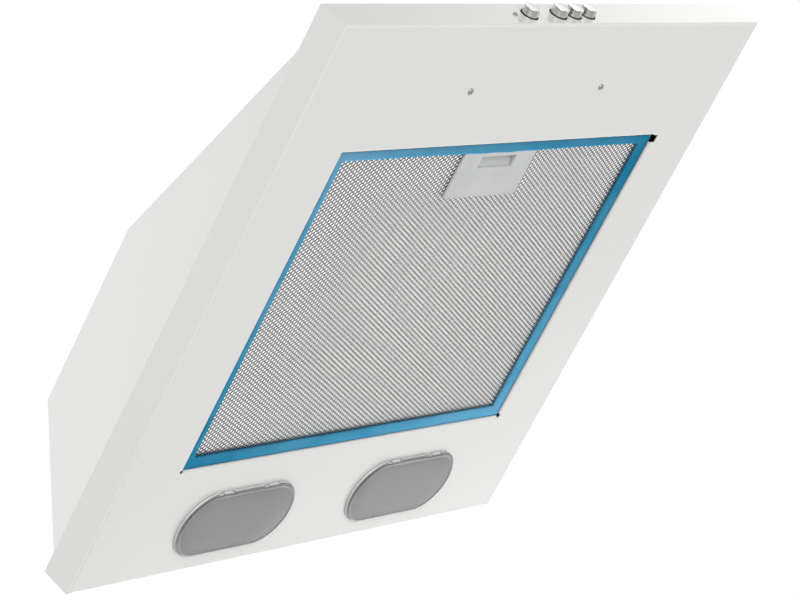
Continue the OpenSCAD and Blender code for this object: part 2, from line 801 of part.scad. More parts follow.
module impeller() {
    ring_t = 2;
    hub_l = shaft_out - 8;
    color("black") in_frame() translate([0, blower_y, blower_z]) rotate([0, 90, 0]) difference() {
        union() {
            for (z = [-impeller_w / 2, impeller_w / 2 - ring_t]) translate([0, 0, z]) difference() {
                cylinder(h = ring_t, r = impeller_r);
                translate([0, 0, -eps]) cylinder(h = ring_t + 2 * eps, r = blade_in_r);
            }
            for (i = [0:blade_count - 1]) rotate(i * 360 / blade_count)
                translate([0, 0, -impeller_w / 2 + 1]) blade();
            translate([0, 0, disc_x]) cylinder(h = disc_t, r = blade_in_r + 1);
            translate([0, 0, disc_x - hub_l]) cylinder(h = 1.5 * hub_l, r1 = shaft_r + 5, r2 = motor_boss_r);
        }
        translate([0, 0, disc_x - hub_l - eps]) cylinder(h = 2 * hub_l, r = shaft_r);
    }
}

module motor_shaft() {
    color("silver") in_frame() translate([bracket_x - motor_l - shaft_out - 4, blower_y, blower_z])
        rod_x(shaft_r, shaft_out + 4 + shaft_in);
}

module motor_screw_places() {
    for (a = [30:120:270]) translate([0, blower_y, blower_z]) rotate([a, 0, 0])
        translate([0, motor_screw_c, 0]) children();
}

module motor_body() {
    x0 = bracket_x - motor_l;
    chamfer = 8;
    slot_r = motor_boss_r + 4;
    color("gray") in_frame() difference() {
        translate([0, blower_y, blower_z]) {
            translate([x0, 0, 0]) rotate([0, 90, 0]) rotate_extrude() polygon([
                [0, 0], [motor_boss_r, 0], [motor_boss_r, 3], [motor_r - chamfer, 3], [motor_r, 3 + chamfer],
                [motor_r, motor_l - 6], [motor_r - 6, motor_l], [0, motor_l]
            ]);
            // Stator pack standing proud round the middle
            translate([x0 + motor_l * 0.35, 0, 0]) rod_x(motor_r + 1.5, motor_l * 0.32);
            translate([bracket_x - 1, 0, 0]) rod_x(motor_boss_r, 1 + bracket_t + 3);
        }
        translate([x0 - eps, blower_y, blower_z]) rod_x(shaft_r + run_gap, shaft_in + eps + part_gap);
        translate([x0 - eps, blower_y, blower_z]) for (a = [0:45:315]) rotate([a, 0, 0])
            translate([0, slot_r, -2]) cube([6, motor_r - chamfer - slot_r - 1, 4]);
        motor_screw_places() translate([bracket_x - 8, 0, 0]) rod_x(1.5, 8 + eps);
    }
}

module motor_bracket() {
    color("silver") in_frame() difference() {
        union() {
            translate([bracket_x, blower_y, blower_z]) rod_x(motor_r - 6, bracket_t);
            bush_places() translate([bracket_x, 0, 0]) rod_x(arm_w / 2, bracket_t);
            for (a = [90:120:330]) translate([bracket_x, blower_y, blower_z]) rotate([a, 0, 0])
                translate([0, 0, -arm_w / 2]) cube([bracket_t, bush_circle_r, arm_w]);
        }
        translate([bracket_x - eps, blower_y, blower_z]) rod_x(motor_boss_r + seat_gap, bracket_t + 2 * eps);
        bush_places() translate([bracket_x - eps, 0, 0]) rod_x(1.9, bracket_t + 2 * eps);
        motor_screw_places() translate([bracket_x - eps, 0, 0]) rod_x(1.9, bracket_t + 2 * eps);
    }
}

module motor_bushes() {
    color("black") in_frame() bush_places() translate([scroll_x, 0, 0]) difference() {
        union() {
            rod_x(4, bush_l);
            rod_x(5, 1.5);
            translate([bush_l - 1.5, 0, 0]) rod_x(5, 1.5);
        }
        translate([-eps, 0, 0]) rod_x(1.9, bush_l + 2 * eps);
    }
}

module motor_screws() {
    color("silver") in_frame() {
        bush_places() translate([bracket_x + bracket_t, 0, 0]) rotate([0, -90, 0])
            pan_screw(3.4, 2.2, 1.5, bracket_t + bush_l + scroll_wall);
        motor_screw_places() translate([bracket_x + bracket_t, 0, 0]) rotate([0, -90, 0])
            pan_screw(3, 2, 1.45, 8);
    }
}

// ---------------------------------------------------------------- electrical parts

// Places a part with its base on the inside of the back panel, its own Y upwards
module on_back(x) {
    translate([x, body_rear, electric_z]) rotate([90, 0, 0]) children();
}

module capacitor() {
    z0 = bracket_sheet + seat_gap;
    color("white") in_frame() on_back(-electric_x) translate([0, 0, z0 + capacitor_r]) rotate([-90, 0, 0])
        rotate_extrude() union() {
            square([capacitor_r - minor_r, capacitor_l]);
            translate([0, minor_r]) square([capacitor_r, capacitor_l - 2 * minor_r]);
            for (y = [minor_r, capacitor_l - minor_r]) translate([capacitor_r - minor_r, y]) circle(minor_r);
            square([4, capacitor_l + 5]);
        }
}

module capacitor_clip() {
    ring_in = capacitor_r + seat_gap;
    ring_out = ring_in + bracket_sheet;
    clip_l = 12;
    clip_z = bracket_sheet + seat_gap + capacitor_r;
    color("silver") in_frame() on_back(-electric_x) translate([0, capacitor_l / 2 - clip_l / 2, 0]) {
        difference() {
            translate([0, 0, clip_z]) rod_y(ring_out, clip_l);
            translate([0, -eps, clip_z]) rod_y(ring_in, clip_l + 2 * eps);
        }
        translate([-ring_out, 0, 0]) difference() {
            cube([2 * ring_out, clip_l, bracket_sheet]);
            translate([ring_out, -eps, clip_z]) rod_y(ring_in, clip_l + 2 * eps);
        }
    }
}

module terminal_box() {
    wall = 2;
    ear_r = 6;
    cable_r = 4;
    color("gainsboro") in_frame() on_back(electric_x) translate([-terminal_w / 2, 0, 0]) difference() {
        union() {
            cube([terminal_w, terminal_l, terminal_h - wall]);
            for (y = [-ear_r + eps, terminal_l + ear_r - eps])
                translate([terminal_w / 2, y, 0]) cylinder(h = wall, r = ear_r);
        }
        translate([wall, wall, wall]) cube([terminal_w - 2 * wall, terminal_l - 2 * wall, terminal_h]);
        for (y = [-ear_r, terminal_l + ear_r]) translate([terminal_w / 2, y, -eps])
            cylinder(h = wall + 2 * eps, r = 2);
        // Cable entry in the upper end
        translate([terminal_w / 2, terminal_l - wall - eps, terminal_h / 2]) rod_y(cable_r, wall + 2 * eps);
    }
}

module terminal_cover() {
    wall = 2;
    inner_w = terminal_w - 2 * wall - 2 * seat_gap;
    inner_l = terminal_l - 2 * wall - 2 * seat_gap;
    color("gainsboro") in_frame() on_back(electric_x) translate([-terminal_w / 2, 0, terminal_h - wall]) {
        cube([terminal_w, terminal_l, wall - seat_gap]);
        translate([wall + seat_gap, wall + seat_gap, -wall]) difference() {
            cube([inner_w, inner_l, wall + seat_gap]);
            translate([wall, wall, -eps]) cube([inner_w - 2 * wall, inner_l - 2 * wall, wall + eps]);
        }
    }
}

module cable_gland() {
    color("dimgray") in_frame() translate([gland_x, duct_y, 0]) difference() {
        union() {
            translate([0, 0, body_h]) cylinder(h = 3, r = gland_head_r);
            translate([0, 0, body_h + 3]) cylinder(h = 7, r1 = gland_head_r - 1, r2 = gland_r + 1.5);
            translate([0, 0, top_z - 6]) cylinder(h = sheet + 6, r = gland_r + 2 - run_gap);
            translate([0, 0, top_z - 4]) cylinder(h = 3.8, r = gland_head_r, $fn = 6);
        }
        translate([0, 0, top_z - 6 - eps]) cylinder(h = sheet + gland_h + 2 * eps, r = gland_r);
    }
}

// ---------------------------------------------------------------- switch, buttons, indicator

module switch_block() {
    z0 = key_z - switch_h / 2;
    color("dimgray") in_frame() difference() {
        translate([key_mid_x - switch_w / 2, switch_y, z0]) cube([switch_w, switch_d, switch_h]);
        for (i = [0:key_count - 1]) translate([key_x(i), switch_y - eps, key_z])
            rod_y(stem_r + part_gap, button_travel + 8 + eps);
        // Parting groove round the block
        translate([key_mid_x - switch_w / 2 - eps, switch_y + 7, z0 + switch_h - 1])
            cube([switch_w + 2 * eps, 1, 1 + eps]);
    }
}

module switch_bracket() {
    y0 = switch_y + switch_d;
    wall_h = key_z + switch_h / 2 - sheet;
    color("silver") in_frame() difference() {
        union() {
            translate([-bracket_w / 2, y0, sheet]) cube([bracket_w, bracket_sheet, wall_h]);
            translate([-bracket_w / 2, y0, sheet]) cube([bracket_w, panel_screw_y - y0 + 8, bracket_sheet]);
        }
        for (s = [-1, 1]) translate([s * panel_screw_dx / 2, panel_screw_y, 0])
            cylinder(h = sheet + bracket_sheet + eps, r = 1.55);
        for (s = [-1, 1]) translate([s * (bracket_w / 2 - bracket_end), y0 - eps, sheet + wall_h / 2])
            rod_y(4, bracket_sheet + 2 * eps);
    }
}

// Strip behind the rim, with a sleeve for each button
module button_guide() {
    x0 = led_x - led_r - 5;
    x1 = key_x(key_count - 1) + sleeve_r + 4;
    h = 2 * sleeve_r + 4;
    color("black") in_frame() difference() {
        union() {
            translate([x0, sheet, key_z - h / 2]) cube([x1 - x0, guide_t, h]);
            button_holes(sleeve_r, -sleeve_out, sheet + sleeve_out + guide_t + 3);
            // Feet that reach back to the switch block
            for (x = [key_x(1), key_mid_x + switch_w / 2 - 2])
                translate([x - 1.5, sheet, key_z - 3]) cube([3, switch_y - sheet, 6]);
        }
        button_holes(button_r + part_gap, -sleeve_out - eps, switch_y);
        translate([led_x, 0, key_z]) rod_y(led_r + seat_gap, sheet + guide_t + eps);
    }
}

module indicator_lens() {
    color("darkolivegreen") in_frame() translate([led_x, 0, key_z]) rotate([-90, 0, 0]) rotate_extrude() {
        square([led_r, sheet + guide_t + 3]);
        translate([0, sheet + guide_t]) square([led_r + 1, 2]);
        intersection() {
            circle(led_r);
            translate([0, -led_r]) square([led_r, led_r]);
        }
    }
}

module button(i) {
    dish_r = 30;
    dish = 0.35;
    color("silver") in_frame() translate([key_x(i), -button_out, key_z]) rotate([-90, 0, 0]) rotate_extrude()
        difference() {
            union() {
                translate([0, 0.5]) square([button_r, button_out + button_in - 0.5]);
                square([button_r - 0.5, 1]);
                translate([button_r - 0.5, 0.5]) circle(0.5, $fn = 32);
                square([stem_r, button_out + switch_y + 4]);
            }
            // Shallow dish in the end face
            translate([0, -dish_r]) circle(dish_r + dish, $fn = 180);
            // Fine groove behind the end
            translate([button_r - 0.2, 1.7]) square([1, 0.35]);
        }
}

module button_light() { button(keys[0]); }
module button_speed_1() { button(keys[1]); }
module button_speed_2() { button(keys[2]); }
module button_speed_3() { button(keys[3]); }

module panel_screws() {
    color("silver") in_frame() for (s = [-1, 1])
        translate([s * panel_screw_dx / 2, panel_screw_y, 0]) rotate(s * 20 + 15)
            pan_screw(panel_screw_r, 1.4, 1.5, 7);
}

// ---------------------------------------------------------------- grease filter

module filter_block(inset, z0, z1) {
    translate([-filter_w / 2 + inset, filter_front + inset, z0])
        cube([filter_w - 2 * inset, filter_d - 2 * inset, z1 - z0]);
}

// The window inside the frame's legs, grown by g
module filter_window(g, z0, z1) {
    window_w = filter_w - frame_left_leg - frame_right_leg;
    window_d = filter_d - frame_front_leg - frame_rear_leg;
    translate([-filter_w / 2 + frame_left_leg - g, filter_front + frame_front_leg - g, z0])
        cube([window_w + 2 * g, window_d + 2 * g, z1 - z0]);
}

module filter_frame() {
    color("silver") in_frame() difference() {
        union() {
            difference() {
                translate([0, filter_front + filter_d / 2, filter_z])
                    pan(filter_w, filter_d, filter_h, minor_r);
                filter_block(frame_wall, filter_z + leg_t, filter_top - leg_t);
                filter_window(0, filter_z - eps, filter_top + eps);
            }
            // Hem that carries the lower mesh
            difference() {
                filter_window(leg_t, filter_z, mesh_z);
                filter_window(0, filter_z - eps, mesh_z + eps);
            }
        }
        translate([-tongue_w / 2 - part_gap, filter_front - eps, tongue_z - part_gap])
            cube([tongue_w + 2 * part_gap, frame_wall + 2 * eps, tongue_t + 2 * part_gap]);
        translate([-filter_w / 2 - eps, hinge_y, hinge_z]) rod_x(hinge_pin_r, filter_w + 2 * eps);
    }
}

module protective_film() {
    color("steelblue") in_frame() difference() {
        translate([0, 0, -film_t]) filter_block(minor_r, filter_z, filter_z + film_t);
        filter_window(0, filter_z - 1, filter_z + 1);
    }
}

// Space for the latch's pocket and tongue in a layer
module handle_room(z0, z1) {
    translate([-pocket_w / 2 - seat_gap, handle_y - seat_gap, z0])
        cube([pocket_w + 2 * seat_gap, pocket_d + 2 * seat_gap, z1 - z0]);
    translate([-tongue_w / 2 - 2 * part_gap, filter_front, z0])
        cube([tongue_w + 4 * part_gap, frame_front_leg + eps, z1 - z0]);
}

module filter_layer(z0, z1) {
    difference() {
        filter_block(frame_wall + seat_gap, z0, z1);
        if (z0 < pocket_z) handle_room(z0 - eps, z1 + eps);
        for (s = [-1, 1]) translate([s * filter_w / 2 - hinge_pin_l, hinge_y, hinge_z])
            rod_x(hinge_pin_r + part_gap, 2 * hinge_pin_l);
    }
}

module filter_mesh_lower() { color("lightgray") in_frame() filter_layer(mesh_z, mesh_z + mesh_t); }

module filter_pack() {
    pitch = (mesh_top_z - mesh_z - mesh_t) / (pack_layers + 1);
    color("darkgray") in_frame() for (i = [1:pack_layers])
        filter_layer(mesh_z + mesh_t + i * pitch - pack_t, mesh_z + mesh_t + i * pitch);
}

module filter_mesh_upper() { color("lightgray") in_frame() filter_layer(mesh_top_z, mesh_top_z + mesh_t); }

module filter_handle() {
    inner_w = finger_w + 2 * part_gap;
    ridge_gap = 5;
    ridge_w = 1;
    ridge_h = 0.25;
    color("gainsboro") in_frame() translate([0, handle_y, 0]) difference() {
        union() {
            translate([0, 0, handle_z]) linear_extrude(handle_t)
                rear_rounded(handle_w, handle_d, handle_corner_r);
            translate([-pocket_w / 2, 0, handle_z]) cube([pocket_w, pocket_d, pocket_z - handle_z]);
            // Ridge behind the recess
            translate([-finger_w / 2, finger_in + finger_d + ridge_gap, handle_z - ridge_h])
                cube([finger_w, ridge_w, 2 * ridge_h]);
        }
        translate([-finger_w / 2, finger_in, handle_z - eps]) cube([finger_w, finger_d, handle_t + 2 * eps]);
        translate([-inner_w / 2, finger_in - part_gap, handle_z + handle_t])
            cube([inner_w, latch_room + part_gap, pocket_z - pocket_roof - handle_z - handle_t]);
        translate([-tongue_w / 2 - part_gap, -eps, tongue_z - part_gap])
            cube([tongue_w + 2 * part_gap, finger_in + 2 * eps, tongue_t + 2 * part_gap]);
    }
}

// Slider with a sloped finger face and a tongue that reaches the opening's front flange
module filter_latch() {
    half = finger_w / 2 - part_gap;
    slope_rear = finger_y + finger_d - 1;
    color("gainsboro") in_frame() {
        translate([-half, 0, 0]) rotate([90, 0, 90]) linear_extrude(2 * half) polygon([
            [finger_y + part_gap, latch_top], [finger_y + part_gap, tongue_z],
            [slope_rear, latch_low], [latch_rear, latch_low], [latch_rear, latch_top]
        ]);
        translate([-tongue_w / 2, tongue_tip, tongue_z])
            cube([tongue_w, finger_y + 1 - tongue_tip, tongue_t]);
    }
}

module filter_pins() {
    tip = filter_w / 2 + filter_gap + 2 * sheet;
    color("silver") in_frame() for (s = [-1, 1])
        translate([s * tip - (s > 0 ? hinge_pin_l : 0), hinge_y, hinge_z]) rod_x(hinge_pin_r, hinge_pin_l);
}

// ---------------------------------------------------------------- lamps

// A round bar bent round the edge of a stadium w long and d wide
module stadium_ring(w, d, r) {
    straight = w - d;
    for (e = [-1, 1]) {
        translate([-straight / 2, e * (d / 2 - r), 0]) rod_x(r, straight);
        translate([e * straight / 2, 0, 0]) rotate(e * 90) rotate_extrude(angle = -180)
            translate([d / 2 - r, 0]) circle(r);
    }
}

// Tray shaped diffuser whose rear edge is the round bar that it tilts on
module lamp_cover(s) {
    low = -part_gap - cover_drop;
    skirt_w = lamp_open_w - 2 * part_gap;
    skirt_d = lamp_open_d - 2 * part_gap;
    color("darkgray") in_frame() translate([s * lamp_x, lamp_y, 0]) difference() {
        union() {
            translate([0, 0, low + cover_edge_r]) stadium_ring(cover_w, cover_d, cover_edge_r);
            translate([0, 0, low]) linear_extrude(cover_drop)
                stadium(cover_w - 2 * cover_edge_r, cover_d - 2 * cover_edge_r);
            translate([0, 0, low]) linear_extrude(cover_drop + part_gap + skirt_h) stadium(skirt_w, skirt_d);
        }
        translate([0, 0, low + cover_wall]) linear_extrude(cover_drop + skirt_h + 2 * eps)
            stadium(skirt_w - 2 * cover_wall, skirt_d - 2 * cover_wall);
        // A wide slit left of each snap tab and a narrow one right of it
        for (x = [-tab_x, tab_x]) {
            translate([x - tab_w / 2 - slit_wide, -cover_d / 2 - eps, low - eps])
                cube([slit_wide, cover_lap / 2 + eps, cover_drop + skirt_h + 4 * eps]);
            translate([x + tab_w / 2, -cover_d / 2 - eps, low - eps])
                cube([slit_w, cover_lap / 2 + eps, cover_drop + skirt_h + 4 * eps]);
        }
    }
}

module lamp_cover_left() { lamp_cover(-1); }
module lamp_cover_right() { lamp_cover(1); }

module lamp_box(s) {
    color("whitesmoke") in_frame() translate([s * lamp_x, lamp_y, sheet]) difference() {
        union() {
            linear_extrude(lamp_box_h) stadium(lamp_box_w, lamp_box_d);
            linear_extrude(sheet) stadium(lamp_box_w + 2 * lamp_flange, lamp_box_d + 2 * lamp_flange);
        }
        translate([0, 0, -eps]) linear_extrude(lamp_box_h - sheet + eps)
            stadium(lamp_box_w - 2 * sheet, lamp_box_d - 2 * sheet);
    }
}

module lamp_box_left() { lamp_box(-1); }
module lamp_box_right() { lamp_box(1); }

// Socket on a short bracket that hangs from the roof of the lamp box, at its outer end
module lamp_holder(s) {
    color("white") in_frame() translate([s * lamp_x, lamp_y, 0]) mirror([s < 0 ? 1 : 0, 0, 0]) difference() {
        union() {
            translate([holder_mouth, 0, bulb_z]) rod_x(holder_r, holder_l);
            translate([holder_mouth + (holder_l - holder_arm_w) / 2, -holder_r / 2, bulb_z])
                cube([holder_arm_w, holder_r, lamp_box_h - bulb_z]);
        }
        translate([holder_mouth - 1, 0, bulb_z]) rod_x(cap_r + seat_gap, holder_l - 5);
    }
}

module lamp_holder_left() { lamp_holder(-1); }
module lamp_holder_right() { lamp_holder(1); }

// Tubular bulb with its screw cap in the holder
module bulb(s) {
    cap_l = 18;
    color("ivory") in_frame() translate([s * lamp_x, lamp_y, bulb_z]) mirror([s < 0 ? 1 : 0, 0, 0])
        translate([holder_mouth + cap_l, 0, 0]) rotate([0, -90, 0]) rotate_extrude() {
            square([cap_r, cap_l + 3]);
            translate([0, cap_l + 1]) square([bulb_r - 3, 3]);
            intersection() {
                union() {
                    translate([0, cap_l + 4]) square([bulb_r, bulb_l - bulb_r - 3]);
                    translate([bulb_r - 3, cap_l + 4]) circle(3);
                    translate([0, cap_l + 1]) square([bulb_r - 3, 4]);
                    translate([0, cap_l + bulb_l - bulb_r + 1]) circle(bulb_r);
                }
                translate([0, 0]) square([bulb_r, cap_l + bulb_l + 2]);
            }
        }
}

module bulb_left() { bulb(-1); }
module bulb_right() { bulb(1); }

// ---------------------------------------------------------------- what is drawn

bottom_tray();
front_panel();
side_panel_left();
side_panel_right();
top_plate();
back_panel();
outlet_collar();
collar_screws();
flap_pin();
flap_front();
flap_rear();
duct_transition();
scroll_left();
scroll_right();
inlet_guard();
impeller();
motor_shaft();
motor_body();
motor_bracket();
motor_bushes();
motor_screws();
capacitor();
capacitor_clip();
terminal_box();
terminal_cover();
cable_gland();
switch_block();
switch_bracket();
button_guide();
indicator_lens();
button_light();
button_speed_1();
button_speed_2();
button_speed_3();
panel_screws();
filter_frame();
protective_film();
filter_mesh_lower();
filter_pack();
filter_mesh_upper();
filter_handle();
filter_latch();
filter_pins();
lamp_cover_left();
lamp_cover_right();
lamp_box_left();
lamp_box_right();
lamp_holder_left();
lamp_holder_right();
bulb_left();
bulb_right();
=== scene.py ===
"""Finishes, fine pieces, studio and camera of an under cabinet range hood.

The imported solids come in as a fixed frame. Each sub-assembly is a class that gives its solids
their finish and makes the fine pieces that stand in for the plainest of them: the expanded
meshes, the protective film, the lamp covers, the push buttons and the screws. Lengths are in
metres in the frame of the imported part, whose underside faces -Z and whose wall side is +Y.
"""

import logging
import math
from collections.abc import Callable, Sequence
from dataclasses import dataclass, field
from enum import Enum
from typing import ClassVar

import bmesh
import bpy
import numpy as np
from mathutils import Matrix, Vector


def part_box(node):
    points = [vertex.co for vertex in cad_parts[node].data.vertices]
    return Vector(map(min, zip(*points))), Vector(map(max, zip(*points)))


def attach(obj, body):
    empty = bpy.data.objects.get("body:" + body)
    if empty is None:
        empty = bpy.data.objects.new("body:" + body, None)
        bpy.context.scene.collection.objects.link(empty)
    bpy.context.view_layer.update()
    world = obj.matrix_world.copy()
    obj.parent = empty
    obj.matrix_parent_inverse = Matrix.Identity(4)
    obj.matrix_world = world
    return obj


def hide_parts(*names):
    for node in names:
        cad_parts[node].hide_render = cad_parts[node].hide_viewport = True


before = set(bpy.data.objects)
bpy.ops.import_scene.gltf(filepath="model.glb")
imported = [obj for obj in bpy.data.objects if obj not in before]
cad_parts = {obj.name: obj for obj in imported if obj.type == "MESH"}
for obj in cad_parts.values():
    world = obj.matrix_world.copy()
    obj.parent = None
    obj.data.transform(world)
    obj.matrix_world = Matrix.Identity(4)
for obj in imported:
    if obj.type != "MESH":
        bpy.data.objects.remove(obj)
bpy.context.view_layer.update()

log = logging.getLogger("hood")
MM = 0.001  # a millimetre, in metres

# A Mix node has sockets for every kind of value. These are the ones that mix colours.
MIX_SHARE = 0
MIX_FIRST = 6
MIX_SECOND = 7
MIX_RESULT = 2

Colour = tuple[float, float, float]
Array = np.ndarray


class Side(Enum):
    """Left and right seen from the front, as node names say them."""

    LEFT = "left"
    RIGHT = "right"


# ------------------------------------------------------------------ node trees


class Graph:
    """Adds and joins the nodes of one tree in short calls."""

    def __init__(self, tree: bpy.types.NodeTree) -> None:
        """Keeps the tree that the calls work on."""
        self.tree = tree

    def add(self, kind: str, values: dict | None = None, **settings: object) -> bpy.types.Node:
        """Adds a node.

        Args:
            kind: the node's type without its ShaderNode prefix.
            values: what goes into its inputs. A socket is linked, anything else is set.
            settings: properties of the node itself.

        Returns:
            The new node.
        """
        node = self.tree.nodes.new("ShaderNode" + kind)
        for key, value in settings.items():
            setattr(node, key, value)
        for key, value in (values or {}).items():
            self.feed(node.inputs[key], value)
        return node

    def feed(self, socket: bpy.types.NodeSocket, value: object) -> None:
        """Links a socket to another, or sets it to a constant.

        Args:
            socket: the input.
            value: an output socket, or the constant.
        """
        if isinstance(value, bpy.types.NodeSocket):
            self.tree.links.new(value, socket)
        else:
            socket.default_value = value

    def mix(self, share: object, first: object, second: object) -> bpy.types.NodeSocket:
        """Mixes two colours.

        Args:
            share: how much of the second colour there is, 0 to 1, as a number or a socket.
            first: a colour, or a socket that gives one.
            second: a colour, or a socket that gives one.

        Returns:
            The socket of the mixed colour.
        """
        node = self.add("Mix", data_type="RGBA")
        for index, value in {MIX_SHARE: share, MIX_FIRST: first, MIX_SECOND: second}.items():
            if isinstance(value, tuple):
                value = (*value, 1.0)
            self.feed(node.inputs[index], value)
        return node.outputs[MIX_RESULT]

    def reckon(self, operation: str, *values: object, clamp: bool = False) -> bpy.types.NodeSocket:
        """Result of a Math node whose inputs are the values, in order."""
        node = self.add("Math", dict(enumerate(values)), operation=operation, use_clamp=clamp)
        return node.outputs["Value"]

    def spread(self, value: bpy.types.NodeSocket, low: object, high: object) -> bpy.types.NodeSocket:
        """Maps a value from 0..1 to low..high, where low and high are numbers or sockets."""
        values = {"Value": value, "To Min": low, "To Max": high}
        return self.add("MapRange", values).outputs["Result"]

    def bump(self, height: bpy.types.NodeSocket, depth: float) -> bpy.types.NodeSocket:
        """Normal that a height of 0..1 gives when 1 stands depth metres proud."""
        values = {"Strength": 1.0, "Distance": depth, "Height": height}
        return self.add("Bump", values).outputs["Normal"]


class Effect:
    """A shader node group that several materials share. It is built on its first use."""

    title: ClassVar[str] = ""
    takes: ClassVar[dict[str, float]] = {}
    gives: ClassVar[tuple[str, ...]] = ()

    @classmethod
    def wire(cls, graph: Graph, given: bpy.types.Node, place: bpy.types.NodeSocket) -> dict:
        """Builds the inside of the group.

        Args:
            graph: the group's tree.
            given: the group's input node.
            place: object coordinates.

        Returns:
            The socket for each output, by name.
        """
        raise NotImplementedError

    @classmethod
    def group(cls) -> bpy.types.NodeTree:
        """Makes the group's tree when it is first asked for.

        Returns:
            The tree, the same one each time.
        """
        tree = bpy.data.node_groups.get(cls.title)
        if tree is not None:
            return tree
        tree = bpy.data.node_groups.new(cls.title, "ShaderNodeTree")
        for name, value in cls.takes.items():
            socket = tree.interface.new_socket(name=name, in_out="INPUT", socket_type="NodeSocketFloat")
            socket.default_value = value
        for name in cls.gives:
            tree.interface.new_socket(name=name, in_out="OUTPUT", socket_type="NodeSocketFloat")
        graph = Graph(tree)
        given = tree.nodes.new("NodeGroupInput")
        put = tree.nodes.new("NodeGroupOutput")
        place = graph.add("TexCoord").outputs["Object"]
        for name, socket in cls.wire(graph, given, place).items():
            tree.links.new(socket, put.inputs[name])
        return tree

    @classmethod
    def use(cls, graph: Graph, **values: float) -> bpy.types.bpy_prop_collection:
        """Places the group in a material.

        Args:
            graph: the material's tree.
            values: what goes into the group's inputs, as across_x for "Across x".

        Returns:
            The placed group's outputs.
        """
        node = graph.tree.nodes.new("ShaderNodeGroup")
        node.node_tree = cls.group()
        for name, value in values.items():
            node.inputs[name.replace("_", " ").capitalize()].default_value = value
        return node.outputs


class Grain(Effect):
    """Even fine relief, such as orange peel in enamel or the grain of moulded plastic."""

    title = "even grain"
    takes = {"Scale": 400.0, "Detail": 2.0}
    gives = ("Height",)

    @classmethod
    def wire(cls, graph: Graph, given: bpy.types.Node, place: bpy.types.NodeSocket) -> dict:
        """One noise over object coordinates."""
        values = {"Vector": place, "Scale": given.outputs["Scale"], "Detail": given.outputs["Detail"]}
        return {"Height": graph.add("TexNoise", values).outputs["Fac"]}


class Smudges(Effect):
    """Soft large patches, for gloss or colour that isn't the same all over."""

    title = "soft patches"
    takes = {"Scale": 12.0, "Low": 0.2, "High": 0.3}
    gives = ("Value", "Mask")

    @classmethod
    def wire(cls, graph: Graph, given: bpy.types.Node, place: bpy.types.NodeSocket) -> dict:
        """A wide noise with its contrast raised, as it is and spread between Low and High.

        Args:
            graph: the group's tree.
            given: the group's input node.
            place: object coordinates.

        Returns:
            The spread value and the mask of 0 to 1.
        """
        values = {"Vector": place, "Scale": given.outputs["Scale"], "Detail": 3.0, "Roughness": 0.6}
        noise = graph.add("TexNoise", values).outputs["Fac"]
        contrast = {"Value": noise, "From Min": 0.32, "From Max": 0.68}
        mask = graph.add("MapRange", contrast).outputs["Result"]
        return {"Value": graph.spread(mask, given.outputs["Low"], given.outputs["High"]), "Mask": mask}


class Streaks(Effect):
    """Fine parallel lines, as rolling leaves them in metal and pulling leaves them in film."""

    title = "parallel streaks"
    takes = {"Across x": 60.0, "Across y": 900.0, "Across z": 900.0}
    gives = ("Height",)

    @classmethod
    def wire(cls, graph: Graph, given: bpy.types.Node, place: bpy.types.NodeSocket) -> dict:
        """A noise whose coordinates are stretched by a scale of their own along each axis.

        Args:
            graph: the group's tree.
            given: the group's input node.
            place: object coordinates.

        Returns:
            The height of the lines, 0 to 1.
        """
        names = {"X": "Across x", "Y": "Across y", "Z": "Across z"}
        scale = graph.add("CombineXYZ", {axis: given.outputs[name] for axis, name in names.items()})
        stretched = graph.add("VectorMath", {0: place, 1: scale.outputs[0]}, operation="MULTIPLY")
        values = {"Vector": stretched.outputs[0], "Scale": 1.0, "Detail": 2.0}
        return {"Height": graph.add("TexNoise", values).outputs["Fac"]}


class Spangle(Effect):
    """Zinc crystals of hot dip coated steel."""

    title = "zinc spangle"
    takes = {"Scale": 160.0}
    gives = ("Tone",)

    @classmethod
    def wire(cls, graph: Graph, given: bpy.types.Node, place: bpy.types.NodeSocket) -> dict:
        """Grey tone of the cells of a Voronoi pattern.

        Args:
            graph: the group's tree.
            given: the group's input node.
            place: object coordinates.

        Returns:
            The tone, 0 to 1, one for each cell.
        """
        values = {"Vector": place, "Scale": given.outputs["Scale"]}
        cells = graph.add("TexVoronoi", values).outputs["Color"]
        return {"Tone": graph.add("SeparateColor", {"Color": cells}).outputs[0]}


class Dust(Effect):
    """Mask of fine dust that lies on what faces up."""

    title = "settled dust"
    takes = {"Scale": 60.0, "Amount": 0.4}
    gives = ("Mask",)

    @classmethod
    def wire(cls, graph: Graph, given: bpy.types.Node, place: bpy.types.NodeSocket) -> dict:
        """The upward part of the normal, broken up by noise.

        Args:
            graph: the group's tree.
            given: the group's input node.
            place: object coordinates.

        Returns:
            The mask, 0 to Amount.
        """
        normal = graph.add("NewGeometry").outputs["Normal"]
        upward = graph.add("SeparateXYZ", {"Vector": normal}).outputs["Z"]
        facing = graph.add("MapRange", {"Value": upward, "From Min": 0.3, "From Max": 1.0})
        values = {"Vector": place, "Scale": given.outputs["Scale"], "Detail": 5.0, "Roughness": 0.7}
        noise = graph.add("TexNoise", values).outputs["Fac"]
        broken = graph.reckon("MULTIPLY", facing.outputs["Result"], noise)
        return {"Mask": graph.reckon("MULTIPLY", broken, given.outputs["Amount"])}


# ------------------------------------------------------------------ finishes

COAT_ROUGHNESS = 0.04  # of the clear top on enamel, lenses and glass


